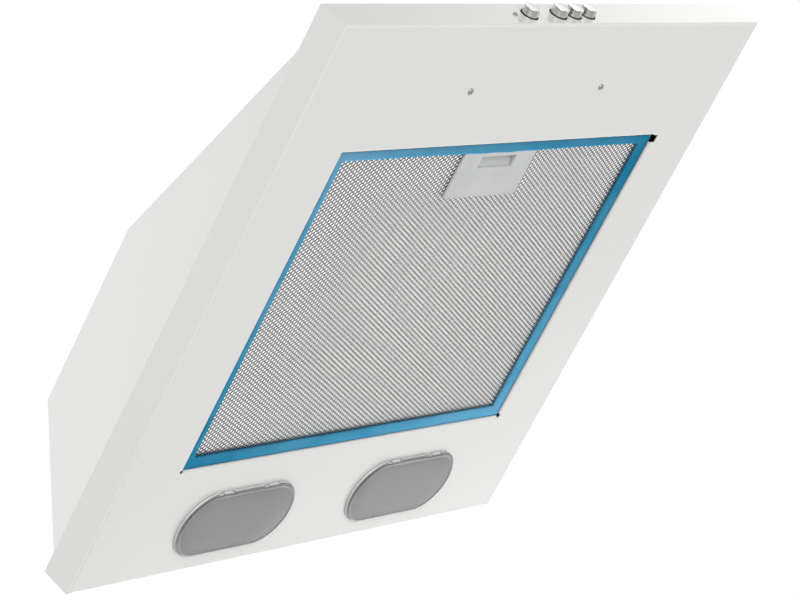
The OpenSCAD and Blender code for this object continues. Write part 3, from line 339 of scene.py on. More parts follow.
@dataclass(frozen=True)
class Finish:
    """A surface finish: its name, colour and roughness. The kinds below add what is their own."""

    name: str
    colour: Colour
    roughness: float

    def dress(self, graph: Graph, shader: bpy.types.Node) -> None:
        """Wires the finish's own nodes into the shader.

        Args:
            graph: the material's tree.
            shader: its Principled BSDF.
        """
        raise NotImplementedError

    def constants(self) -> dict[str, object]:
        """Shader inputs that are the same all over the surface."""
        return {}

    def material(self) -> bpy.types.Material:
        """Makes the finish's material when it is first asked for.

        Returns:
            The material, the same one each time.
        """
        made = bpy.data.materials.get(self.name)
        if made is not None:
            return made
        made = bpy.data.materials.new(self.name)
        made.use_nodes = True
        made.diffuse_color = (*self.colour, 1.0)
        made.node_tree.nodes.clear()
        graph = Graph(made.node_tree)
        start = {"Base Color": (*self.colour, 1.0), "Roughness": self.roughness}
        shader = graph.add("BsdfPrincipled", {**start, **self.constants()})
        graph.add("OutputMaterial", {"Surface": shader.outputs["BSDF"]})
        self.dress(graph, shader)
        return made


@dataclass(frozen=True)
class Enamel(Finish):
    """Baked gloss enamel on sheet steel, with a faint orange peel."""

    coat: float = 0.8
    specular: float = 0.4
    peel: float = 0.008 * MM
    patch_tone: float = 0.975
    patch_dulling: float = 0.06

    def constants(self) -> dict[str, object]:
        """A clear glossy top."""
        return {
            "Coat Weight": self.coat,
            "Coat Roughness": COAT_ROUGHNESS,
            "Specular IOR Level": self.specular,
        }

    def dress(self, graph: Graph, shader: bpy.types.Node) -> None:
        """Orange peel in the normal, and patches of slightly other tone and gloss.

        Args:
            graph: the material's tree.
            shader: its Principled BSDF.
        """
        dull = self.roughness + self.patch_dulling
        patches = Smudges.use(graph, scale=7.0, low=self.roughness, high=dull)
        shade = tuple(c * self.patch_tone for c in self.colour)
        graph.feed(shader.inputs["Base Color"], graph.mix(patches["Mask"], self.colour, shade))
        graph.feed(shader.inputs["Roughness"], patches["Value"])
        peel = Grain.use(graph, scale=420.0, detail=1.0)["Height"]
        graph.feed(shader.inputs["Normal"], graph.bump(peel, self.peel))


class MetalGrain(Enum):
    """How a metal's surface was made, which gives its grain."""

    ROLLED = "rolled"
    SPANGLED = "spangled"
    CAST = "cast"


@dataclass(frozen=True)
class Metal(Finish):
    """Bare or plated metal. Its grain goes from its colour to its second colour."""

    grain: MetalGrain = MetalGrain.ROLLED
    relief: float = 0.02 * MM
    second: Colour = (0.6, 0.6, 0.6)
    wear: float = 1.35

    def constants(self) -> dict[str, object]:
        """Fully metallic."""
        return {"Metallic": 1.0}

    def dress(self, graph: Graph, shader: bpy.types.Node) -> None:
        """Streaks, crystals or pits, by the way that the surface was made.

        Args:
            graph: the material's tree.
            shader: its Principled BSDF.
        """
        patches = Smudges.use(graph, scale=20.0, low=self.roughness, high=self.roughness * self.wear)
        graph.feed(shader.inputs["Roughness"], patches["Value"])
        if self.grain is MetalGrain.SPANGLED:
            tone = Spangle.use(graph, scale=150.0)["Tone"]
        elif self.grain is MetalGrain.ROLLED:
            tone = Streaks.use(graph, across_x=1500.0, across_y=30.0, across_z=1500.0)["Height"]
        else:
            tone = Grain.use(graph, scale=900.0, detail=3.0)["Height"]
        graph.feed(shader.inputs["Base Color"], graph.mix(tone, self.colour, self.second))
        graph.feed(shader.inputs["Normal"], graph.bump(tone, self.relief))


@dataclass(frozen=True)
class Moulded(Finish):
    """Moulded plastic or rubber, with a fine grain and some dust on top."""

    grain: float = 0.03 * MM
    scale: float = 700.0
    patch_tone: float = 0.94
    patch_dulling: float = 0.1
    dust: float = 0.25
    dust_colour: Colour = (0.42, 0.41, 0.39)

    def dress(self, graph: Graph, shader: bpy.types.Node) -> None:
        """Grain in the normal, patches in the gloss, and dust in the colour.

        Args:
            graph: the material's tree.
            shader: its Principled BSDF.
        """
        dull = self.roughness + self.patch_dulling
        patches = Smudges.use(graph, scale=25.0, low=self.roughness, high=dull)
        graph.feed(shader.inputs["Roughness"], patches["Value"])
        dust = Dust.use(graph, scale=70.0, amount=self.dust)["Mask"]
        shade = tuple(c * self.patch_tone for c in self.colour)
        body = graph.mix(patches["Mask"], self.colour, shade)
        graph.feed(shader.inputs["Base Color"], graph.mix(dust, body, self.dust_colour))
        relief = Grain.use(graph, scale=self.scale, detail=3.0)["Height"]
        graph.feed(shader.inputs["Normal"], graph.bump(relief, self.grain))


@dataclass(frozen=True)
class TintedFilm(Finish):
    """Thin coloured film on bright metal that lifts here and there and has a painted reflection."""

    # paler colour of film that lifts off, also painted in as a reflection
    lift_and_sheen: Colour = (0.18, 0.40, 0.57)
    glance: Colour = (0.25, 0.55, 0.75)
    metallic: float = 0.9
    share: float = 0.26
    patch_share: float = 0.3
    patch_dulling: float = 0.12
    # how strongly the painted reflection lightens the front left and rear right corners
    sheen_twist: float = 15.0
    middle_y: float = -0.16
    crease: float = 0.12 * MM

    def constants(self) -> dict[str, object]:
        """Mostly metallic, because the metal shows through, and blue at low angles as well."""
        return {"Metallic": self.metallic, "Specular Tint": (*self.glance, 1.0)}

    def dress(self, graph: Graph, shader: bpy.types.Node) -> None:
        """Paler in random patches where the film lifts off, and paler still in a painted reflection,
        with fine creases along the legs.

        The paler colour's share is share + patch_share * mask + the twist factor * x * (y - middle_y),
        where the mask is that of the soft patches. The last term is a painted reflection, most at the
        front left and rear right corners.

        Args:
            graph: the material's tree.
            shader: its Principled BSDF.
        """
        dull = self.roughness + self.patch_dulling
        patches = Smudges.use(graph, scale=18.0, low=self.roughness, high=dull)
        place = graph.add("SeparateXYZ", {"Vector": graph.add("TexCoord").outputs["Object"]}).outputs
        # painted reflection: the film is made paler towards the front left and rear right
        rearward = graph.reckon("SUBTRACT", place["Y"], self.middle_y)
        sheen_slant = graph.reckon("MULTIPLY", place["X"], rearward)
        corners = graph.reckon("MULTIPLY_ADD", sheen_slant, self.sheen_twist, self.share)
        lift_and_sheen = graph.reckon("MULTIPLY_ADD", patches["Mask"], self.patch_share, corners, clamp=True)
        graph.feed(shader.inputs["Base Color"], graph.mix(lift_and_sheen, self.colour, self.lift_and_sheen))
        graph.feed(shader.inputs["Roughness"], patches["Value"])
        creases = Streaks.use(graph, across_x=60.0, across_y=90.0, across_z=20.0)["Height"]
        graph.feed(shader.inputs["Normal"], graph.bump(creases, self.crease))


@dataclass(frozen=True)
class Translucent(Finish):
    """Plastic or glass that lets light through."""

    through: float = 0.5
    coat: float = 0.3
    ior: float = 1.49
    ripple: float = 0.01 * MM
    wear: float = 1.25

    def constants(self) -> dict[str, object]:
        """Share of light that passes, and a clear surface."""
        return {
            "Transmission Weight": self.through,
            "Coat Weight": self.coat,
            "Coat Roughness": COAT_ROUGHNESS,
            "IOR": self.ior,
        }

    def dress(self, graph: Graph, shader: bpy.types.Node) -> None:
        """Slight patches in the frosting and a ripple from the mould.

        Args:
            graph: the material's tree.
            shader: its Principled BSDF.
        """
        patches = Smudges.use(graph, scale=15.0, low=self.roughness, high=self.roughness * self.wear)
        graph.feed(shader.inputs["Roughness"], patches["Value"])
        ripple = Grain.use(graph, scale=60.0, detail=1.0)["Height"]
        graph.feed(shader.inputs["Normal"], graph.bump(ripple, self.ripple))


def mesh_metal(name: str, tone: float, second: float, roughness: float) -> Metal:
    """Grey metal of the filter's meshes, too fine to show relief and hardly worn.

    Args:
        name: the finish's name.
        tone: its grey; for the bonds and strands it holds painted highlight or shade.
        second: the grey that its grain goes to.
        roughness: its roughness.

    Returns:
        The finish.
    """
    grey, other = (tone, tone, tone), (second, second, second)
    return Metal(name, grey, roughness, MetalGrain.CAST, relief=0.0, second=other, wear=1.05)


ENAMEL = Enamel("white enamel", (0.745, 0.745, 0.725), 0.2)
ZINC = Metal("galvanised steel", (0.62, 0.63, 0.64), 0.38, MetalGrain.SPANGLED, second=(0.47, 0.48, 0.49))
PLATED = Metal("plated fastener", (0.46, 0.45, 0.43), 0.42, MetalGrain.CAST, second=(0.36, 0.36, 0.35))
# streaks along the button's axis, from light to dark grey, paint reflections on its sides
CHROME_PAINTED_STREAKS = Metal("chrome with painted streaks", (0.84, 0.84, 0.82), 0.2, relief=0.002 * MM, second=(0.44, 0.44, 0.42))
# the button's end, painted paler than its sides as a reflection
BUTTON_END_PAINTED_BRIGHT = Metal(
    "chrome end painted bright", (0.96, 0.96, 0.94), 0.22, MetalGrain.CAST, relief=0.0, second=(0.92, 0.92, 0.90)
)
ALUMINIUM = Metal("rolled aluminium", (0.80, 0.80, 0.81), 0.34, second=(0.68, 0.68, 0.70))
CASTING = Metal(
    "cast aluminium", (0.58, 0.58, 0.60), 0.5, MetalGrain.CAST, relief=0.08 * MM, second=(0.45, 0.45, 0.47)
)
# One aluminium mesh in lit and shaded copies: bonds painted bright as highlights, legs towards +Y painted
# dark and legs towards -Y half dark as shade.
BOND_PAINTED_HIGHLIGHT = mesh_metal("bonds painted bright", 0.79, 0.74, roughness=0.3)
STRAND_PAINTED_SHADE = mesh_metal("strands painted dark", 0.27, 0.25, roughness=0.5)
CROSS_STRAND_PAINTED_SHADE = mesh_metal("crossing strands painted half dark", 0.50, 0.47, roughness=0.6)
LAYERS = mesh_metal("layered mesh", 0.71, 0.68, roughness=0.6)
FILM = TintedFilm("blue protective film", (0.024, 0.168, 0.28), 0.26)
HANDLE_GREY = Moulded("light grey plastic", (0.60, 0.61, 0.61), 0.45, dust=0.0)
DUCT_GREY = Moulded("dark grey plastic", (0.075, 0.08, 0.085), 0.5)
HOUSING_GREY = Moulded("grey plastic", (0.36, 0.37, 0.38), 0.5)
BLACK_PLASTIC = Moulded("black plastic", (0.018, 0.018, 0.02), 0.42)
WHITE_PLASTIC = Moulded("white plastic", (0.72, 0.72, 0.69), 0.4)
RUBBER = Moulded("black rubber", (0.02, 0.02, 0.02), 0.75, grain=0.05 * MM)
LENS = Translucent("smoked lens", (0.58, 0.59, 0.59), 0.36, through=0.9)
CLEAR_EDGE = Translucent("clear lens edge", (0.60, 0.61, 0.60), 0.22, through=0.1)
BULB_GLASS = Translucent("frosted bulb", (0.90, 0.90, 0.87), 0.45, through=0.5)
INDICATOR = Translucent("olive indicator", (0.48, 0.48, 0.41), 0.2, through=0.4)
FLOOR = Moulded("pale floor", (0.80, 0.80, 0.79), 0.7, dust=0.0)


# ------------------------------------------------------------------ mesh making


def box_of(node: str) -> tuple[Array, Array]:
    """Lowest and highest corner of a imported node, in metres."""
    low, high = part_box(node)
    return np.array(low), np.array(high)


def grid_quads(rows: int, columns: int, close_rows: bool = False, close_columns: bool = False) -> Array:
    """Joins a grid of points, numbered row by row, into quads.

    Quad (i, j) has the points (i, j), (i, j + 1), (i + 1, j + 1) and (i + 1, j). An index past
    the end of a closed direction starts again at 0.

    Args:
        rows: number of rows of points.
        columns: number of points in a row.
        close_rows: the last row also joins the first.
        close_columns: the last point of a row also joins its first.

    Returns:
        One line of four point numbers for each quad.
    """
    i, j = np.meshgrid(
        np.arange(rows if close_rows else rows - 1),
        np.arange(columns if close_columns else columns - 1),
        indexing="ij",
    )
    next_i, next_j = (i + 1) % rows, (j + 1) % columns
    corners = [i * columns + j, i * columns + next_j, next_i * columns + next_j, next_i * columns + j]
    return np.stack(corners, axis=-1).reshape(-1, 4)


def smooth_steps(mesh: bpy.types.Mesh, angle: float) -> None:
    """Shades a mesh smooth, except over edges that turn more than the angle in degrees."""
    mesh.polygons.foreach_set("use_smooth", np.ones(len(mesh.polygons), dtype=bool))
    mesh.set_sharp_from_angle(angle=math.radians(angle))


def close_up(mesh: bpy.types.Mesh, merge: float = 0.0005 * MM) -> None:
    """Merges doubled points, closes small open ends and turns all faces of a mesh outwards.

    Args:
        mesh: the mesh, which is changed.
        merge: points nearer than this many metres become one.
    """
    work = bmesh.new()
    work.from_mesh(mesh)
    bmesh.ops.remove_doubles(work, verts=work.verts, dist=merge)
    bmesh.ops.holes_fill(work, edges=[edge for edge in work.edges if edge.is_boundary], sides=4)
    bmesh.ops.recalc_face_normals(work, faces=work.faces)
    work.to_mesh(mesh)
    work.free()


def link_new(name: str, data: bpy.types.ID) -> bpy.types.Object:
    """Makes an object at the origin and links it to the scene.

    Args:
        name: the object's name.
        data: its mesh or camera.

    Returns:
        The new object.
    """
    made = bpy.data.objects.new(name, data)
    bpy.context.scene.collection.objects.link(made)
    return made


def add_piece(
    name: str,
    points: Array,
    faces: Sequence,
    finishes: Sequence[Finish],
    finish_of_face: Array | None = None,
    angle: float = 35.0,
) -> bpy.types.Object:
    """Makes a mesh object at the origin, with its place in its mesh.

    Args:
        name: the piece's name.
        points: one line of three metres for each point.
        faces: point numbers of each face.
        finishes: the finishes that its faces use.
        finish_of_face: number of each face's finish, or None if there is only one.
        angle: edges that turn more than this many degrees stay sharp.

    Returns:
        The new object.
    """
    mesh = bpy.data.meshes.new(name)
    mesh.from_pydata(points.reshape(-1, 3), [], [list(map(int, face)) for face in faces])
    for finish in finishes:
        mesh.materials.append(finish.material())
    if finish_of_face is not None:
        mesh.polygons.foreach_set("material_index", finish_of_face.astype(np.int32))
    close_up(mesh)
    smooth_steps(mesh, angle)
    return link_new(name, mesh)


def settle(piece: bpy.types.Object, body: str, node: str) -> None:
    """Rides a piece on its body and hides the node that it stands for.

    Args:
        piece: the new piece.
        body: the body that it rides on.
        node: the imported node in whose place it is.
    """
    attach(piece, body)
    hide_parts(node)
    log.info("%s rides on %s and stands for %s", piece.name, body, node)


def finish_node(node: str, finish: Finish) -> None:
    """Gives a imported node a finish, in place of its plain material.

    Args:
        node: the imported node.
        finish: its finish.
    """
    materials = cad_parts[node].data.materials
    materials.clear()
    materials.append(finish.material())
    log.info("%s is finished in %s", node, finish.name)


def softened(node: str, name: str, radius: float, finish: Finish, angle: float = 40.0) -> bpy.types.Object:
    """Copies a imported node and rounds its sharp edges.

    The node's mesh is loose triangles, so its doubled points are merged and its flat faces joined
    first.

    Args:
        node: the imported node, which stays as it is.
        name: the copy's name.
        radius: radius of the rounded edges, in metres.
        finish: the copy's finish.
        angle: edges that turn more than this many degrees are rounded.

    Returns:
        The copy, with a Bevel modifier.
    """
    merge = 0.002 * MM
    flat = math.radians(0.5)
    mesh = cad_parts[node].data.copy()
    mesh.name = name
    work = bmesh.new()
    work.from_mesh(mesh)
    bmesh.ops.remove_doubles(work, verts=work.verts, dist=merge)
    bmesh.ops.dissolve_limit(work, angle_limit=flat, verts=work.verts, edges=work.edges)
    work.to_mesh(mesh)
    work.free()
    if "custom_normal" in mesh.attributes:
        mesh.attributes.remove(mesh.attributes["custom_normal"])
    mesh.materials.clear()
    mesh.materials.append(finish.material())
    smooth_steps(mesh, angle)
    piece = link_new(name, mesh)
    bevel = piece.modifiers.new("rounded edges", "BEVEL")
    bevel.width = radius
    bevel.segments = 2
    bevel.limit_method = "ANGLE"
    bevel.angle_limit = math.radians(angle)
    bevel.harden_normals = True
    return piece


def revolved(profile: Array, centre: Array, axis: int, steps: int = 96) -> tuple[Array, Array]:
    """Turns a profile round an axis into a closed skin.

    Point (i, j) lies at centre + along_j * axis + radius_j * (cos a_i, sin a_i) across the axis,
    with a_i = 2 pi i / steps. The profile starts and ends on the axis.

    Args:
        profile: one line of (radius, along) for each point, in metres.
        centre: the point that along counts from.
        axis: 0, 1 or 2 for X, Y or Z.
        steps: number of points round the axis.

    Returns:
        Points and quads.
    """
    turn = np.arange(steps)[:, None] * 2 * np.pi / steps
    radius, along = profile[None, :, 0], profile[None, :, 1]
    points = np.empty((steps, len(profile), 3))
    points[..., axis] = along
    points[..., (axis + 1) % 3] = radius * np.cos(turn)
    points[..., (axis + 2) % 3] = radius * np.sin(turn)
    return points.reshape(-1, 3) + centre, grid_quads(steps, len(profile), close_rows=True)


# ------------------------------------------------------------------ sub-assemblies


@dataclass(frozen=True)
class DressedNodes:
    """A sub-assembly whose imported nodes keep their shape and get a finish."""

    finishes: dict[str, Finish] = field(default_factory=dict)

    def build(self) -> None:
        """Dresses each node."""
        for node, finish in self.finishes.items():
            finish_node(node, finish)


@dataclass(frozen=True)
class SheetMetalBody(DressedNodes):
    """The tray and the five panels of the body, in white enamel."""

    finishes: dict[str, Finish] = field(
        default_factory=lambda: {
            "bottom_tray": ENAMEL,
            "front_panel": ENAMEL,
            "side_panel_left": ENAMEL,
            "side_panel_right": ENAMEL,
            "top_plate": ENAMEL,
            "back_panel": ENAMEL,
        }
    )


@dataclass(frozen=True)
class Ductwork(DressedNodes):
    """The collar with its flaps, and the duct between scroll and collar."""

    finishes: dict[str, Finish] = field(
        default_factory=lambda: {
            "outlet_collar": DUCT_GREY,
            "flap_front": DUCT_GREY,
            "flap_rear": DUCT_GREY,
            "duct_transition": HOUSING_GREY,
            "collar_screws": PLATED,
            "flap_pin": PLATED,
            "cable_gland": BLACK_PLASTIC,
        }
    )


@dataclass(frozen=True)
class Blower(DressedNodes):
    """The scroll, impeller and motor."""

    finishes: dict[str, Finish] = field(
        default_factory=lambda: {
            "scroll_left": HOUSING_GREY,
            "scroll_right": HOUSING_GREY,
            "inlet_guard": BLACK_PLASTIC,
            "impeller": BLACK_PLASTIC,
            "motor_shaft": PLATED,
            "motor_body": CASTING,
            "motor_bracket": ZINC,
            "motor_bushes": RUBBER,
            "motor_screws": PLATED,
        }
    )


@dataclass(frozen=True)
class Electrics(DressedNodes):
    """Capacitor, terminal box and switch block inside the body, and the indicator in the rim."""

    finishes: dict[str, Finish] = field(
        default_factory=lambda: {
            "capacitor": WHITE_PLASTIC,
            "capacitor_clip": ZINC,
            "terminal_box": WHITE_PLASTIC,
            "terminal_cover": WHITE_PLASTIC,
            "switch_block": BLACK_PLASTIC,
            "switch_bracket": ZINC,
            "button_guide": BLACK_PLASTIC,
            "indicator_lens": INDICATOR,
        }
    )


@dataclass
class PushButton:
    """A chromed cap with a groove round it, reflection streaks painted along its sides and an end painted
    paler as a reflection, dished within a bead.
    """

    node: str
    edge_r: float = 0.35 * MM
    dish: float = 0.06 * MM
    bead_w: float = 0.3 * MM
    bead_h: float = 0.05 * MM
    groove_at: float = 0.9 * MM
    groove_w: float = 0.5 * MM
    groove_depth: float = 0.25 * MM
    groove_slope: float = 0.12 * MM
    stem_r: float = 2.6 * MM
    stem_l: float = 12.0 * MM
    dish_points: int = 9
    edge_points: int = 6

    def profile(self, radius: float, front: float, root: float) -> Array:
        """Outline of the button as (radius, y).

        Over the dish, y = front + bead_h + dish * (1 - share^2), where the share goes from 0 on
        the axis to 1 at the bead. Round the edge, an angle of 0 to 90 degrees turns a radius of
        edge_r from the end face to the side.

        Args:
            radius: outer radius.
            front: y of the end face.
            root: y of the stem's end.

        Returns:
            Points from the axis at the end face to the axis at the root.
        """
        share = np.linspace(0, 1, self.dish_points)
        inner = radius - self.edge_r - self.bead_w
        dish = np.stack([inner * share, front + self.dish * (1 - share**2) + self.bead_h], axis=1)
        turn = np.linspace(0, np.pi / 2, self.edge_points)
        edge_x = radius - self.edge_r + self.edge_r * np.sin(turn)
        edge_y = front + self.edge_r - self.edge_r * np.cos(turn)
        groove = front + self.groove_at
        floor = radius - self.groove_depth
        rear = root - self.stem_l
        tail = np.array(
            [
                [radius, groove],
                [floor, groove + self.groove_slope],
                [floor, groove + self.groove_w - self.groove_slope],
                [radius, groove + self.groove_w],
                [radius, rear],
                [self.stem_r, rear],
                [self.stem_r, root],
                [0.0, root],
            ]
        )
        return np.concatenate([dish, np.stack([edge_x, edge_y], axis=1), tail])

    def build(self) -> None:
        """Makes the button and puts it in its node's place.

        The end's finish, painted paler as a reflection, goes on the faces whose middle lies within edge_r
        of the end face.
        """
        low, high = box_of(self.node)
        radius = (high[0] - low[0]) / 2
        centre = np.array([(low[0] + high[0]) / 2, 0.0, (low[2] + high[2]) / 2])
        points, faces = revolved(self.profile(radius, low[1], high[1]), centre, axis=1)
        at_end = points[faces].mean(axis=1)[:, 1] < low[1] + self.edge_r
        kind = np.where(at_end, 1, 0)
        piece = add_piece(self.node + "_cap", points, faces, [CHROME_PAINTED_STREAKS, BUTTON_END_PAINTED_BRIGHT], kind, angle=30)
        settle(piece, self.node, self.node)


@dataclass
class CrossScrews:
    """The two cross head screws in the tray, with domed heads and a tapered recess."""

    head_r: float = 2.6 * MM
    head_h: float = 1.4 * MM
    dome_power: int = 4
    arm_w: float = 0.42 * MM
    arm_l: float = 1.55 * MM
    arm_slope: float = 0.12 * MM
    tip_slope: float = 0.9 * MM
    recess: float = 1.15 * MM
    shank_r: float = 1.5 * MM
    shank_l: float = 7.0 * MM
    turns: tuple[float, float] = (15.0, 55.0)  # of each cross, in degrees
    rings: int = 22
    ring_power: float = 0.8
    spokes: int = 72

    def head(self, turn: float) -> Array:
        """Grid of the head's face over (radius, angle).

        The face lies at z = -h * (1 - (r / R)^dome_power)^(1/2), a flat dome. The cross takes the
        recess's depth off it where the distance to the nearer arm's middle line is under arm_w
        and r is under arm_l. Both edges are sloped. Ring i has r = R * (i / n)^ring_power.

        Args:
            turn: how far the cross is turned, in radians.

        Returns:
            Points as (ring, spoke, xyz) over the middle of the screw's seat.
        """
        r = np.linspace(0, 1, self.rings)[:, None] ** self.ring_power * self.head_r
        a = np.arange(self.spokes)[None, :] * 2 * np.pi / self.spokes
        x, y = r * np.cos(a), r * np.sin(a)
        flat = np.sqrt(np.clip(1 - (r / self.head_r) ** self.dome_power, 0, 1))
        dome = -self.head_h * flat * np.ones_like(a)
        across = np.minimum(np.abs(x), np.abs(y))
        wall = np.clip((self.arm_w - across) / self.arm_slope, 0, 1)
        taper = np.clip((self.arm_l - r) / self.tip_slope, 0, 1)
        z = dome + self.recess * wall * taper
        cos_t, sin_t = math.cos(turn), math.sin(turn)
        return np.stack([x * cos_t - y * sin_t, x * sin_t + y * cos_t, z], axis=-1)

    def shank(self) -> Array:
        """Rings of the head's underside and of the shank.

        Returns:
            Points as (ring, spoke, xyz), from the head's edge to the middle of the shank's end.
        """
        edge = self.head_r * np.exp(1j * np.arange(self.spokes) * 2 * np.pi / self.spokes)
        radius = np.array([self.head_r, self.shank_r, self.shank_r, 0.0])[:, None]
        height = np.array([0.0, 0.0, self.shank_l, self.shank_l])[:, None]
        ring = edge * radius / self.head_r
        return np.stack([ring.real, ring.imag, height * np.ones(self.spokes)], axis=-1)

    def build(self) -> None:
        """Makes both screws as one piece, in place of their node."""
        low, high = box_of("panel_screws")
        middle_y = (low[1] + high[1]) / 2
        seat = low[2] + self.head_h
        points, faces = [], []
        for turn, x in zip(self.turns, (low[0] + self.head_r, high[0] - self.head_r)):
            rings = np.concatenate([self.head(math.radians(turn)), self.shank()])
            faces.append(grid_quads(*rings.shape[:2], close_columns=True) + sum(map(len, points)))
            points.append(rings.reshape(-1, 3) + np.array([x, middle_y, seat]))
        skins, quads = np.concatenate(points), np.concatenate(faces)
        piece = add_piece("panel_screw_pair", skins, quads, [PLATED], angle=28)
        settle(piece, "housing", "panel_screws")


@dataclass
class ExpandedMesh:
    """A sheet of expanded aluminium: zigzag strands that meet two by two at tilted bonds."""

    name: str
    node: str
    long_way: float = 6.04 * MM
    short_way: float = 3.545 * MM
    strand: float = 1.04 * MM
    bond: float = 1.2 * MM
    tilt: float = math.radians(12)
    thick: float = 0.34 * MM

    def strands(self, low: Array, high: Array, z: float) -> tuple[Array, Array, Array]:
        """Points, quads and kind of quad of all strands over a rectangle.

        Strand k runs along X. At step i its bond's middle lies at x = i * long_way / 2 and
        y = (k + (k + i) mod 2) * short_way / 2, moved by half a strand's width to the strand's
        own side of the bond. Each bond has two points in a row, bond apart, and the legs
        between bonds are straight. The section is a flat triangle: its wide face looks down,
        tilted about X, and its ridge lies behind it.

        Args:
            low: lowest x and y.
            high: highest x and y.
            z: height of the middle of the sheet.

        Returns:
            Points, quads and the kind of each quad: 0 bond, 1 leg towards +Y, 2 leg towards -Y.
        """
        steps = int(round((high[0] - low[0]) / (self.long_way / 2))) + 1
        count = int(round((high[1] - low[1]) / (self.short_way / 2)))
        k = np.arange(count)[:, None, None]
        i = np.arange(steps)[None, :, None]
        side = np.array([-1.0, 1.0])[None, None, :]
        upper = (k + i) % 2
        x = low[0] + i * self.long_way / 2 + side * self.bond / 2 + 0 * k
        half = self.strand / 2
        own = np.where(upper == 1, -half, half)
        y = low[1] + (k + upper) * self.short_way / 2 + own * math.cos(self.tilt) + 0 * side
        rise = own * math.sin(self.tilt) + 0 * side
        stations = steps * side.size
        middle = np.stack([x, y, z + rise], axis=-1).reshape(count, stations, 1, 3)
        across = np.array([0.0, math.cos(self.tilt), math.sin(self.tilt)])
        back = np.array([0.0, -math.sin(self.tilt), math.cos(self.tilt)])
        section = np.stack([-half * across, half * across, self.thick * back])
        points = middle + section[None, None]
        quads = grid_quads(stations, len(section), close_columns=True)
        segment = np.arange(stations - 1)[None, :]
        kind = np.where(segment % 2 == 0, 0, 1 + (k[:, :, 0] + segment // 2) % 2)
        first = np.arange(count)[:, None, None] * stations * len(section)
        quads = (quads[None] + first).reshape(-1, 4)
        return points.reshape(-1, 3), quads, np.repeat(kind.reshape(-1), len(section))

    def build(
        self, low: Array, high: Array, z: float, taken: Callable[[Array], Array] | None = None
    ) -> None:
        """Makes the sheet in a front and a rear half, without the strands where other pieces lie.

        Args:
            low: lowest x and y of the sheet.
            high: highest x and y of the sheet.
            z: height of its middle.
            taken: tells which of the points given to it lie where another piece is.
        """
        points, quads, kind = self.strands(low, high, z)
        middles = points[quads].mean(axis=1)
        keep = np.ones(len(quads), dtype=bool) if taken is None else ~taken(middles)
        in_front = middles[:, 1] < (low[1] + high[1]) / 2
        for part, half in (("front", keep & in_front), ("rear", keep & ~in_front)):
            used, corners = np.unique(quads[half], return_inverse=True)
            name = self.name + "_" + part
            # bonds take the painted highlight, the legs the painted shade
            finishes = [BOND_PAINTED_HIGHLIGHT, STRAND_PAINTED_SHADE, CROSS_STRAND_PAINTED_SHADE]
            piece = add_piece(name, points[used], corners.reshape(-1, 4), finishes, kind[half], angle=5)
            settle(piece, "filter", self.node)


@dataclass(frozen=True)
class FrameLegs:
    """Widths of the filter frame's four legs, from its outer edge to its window."""

    left: float = 7.0 * MM
    right: float = 12.5 * MM
    front: float = 7.5 * MM
    rear: float = 9.5 * MM

    def window(self, low: Array, high: Array, over: float = 0.0) -> tuple[Array, Array]:
        """Finds the frame's window.

        Args:
            low: lowest corner of the frame's box.
            high: highest corner of the frame's box.
            over: how far the corners found lie past the window's edges.

        Returns:
            Lowest and highest (x, y).
        """
        lowest = np.array([low[0] + self.left - over, low[1] + self.front - over])
        return lowest, np.array([high[0] - self.right + over, high[1] - self.rear + over])


@dataclass(frozen=True)
class Wave:
    """A sine along a way: its share of the height, its radians per metre and its phase."""

    share: float
    rate: float
    phase: float = 0.0

    def height(self, way: Array) -> Array:
        """Its height at each point of the way."""
        return self.share * np.sin(way * self.rate + self.phase)


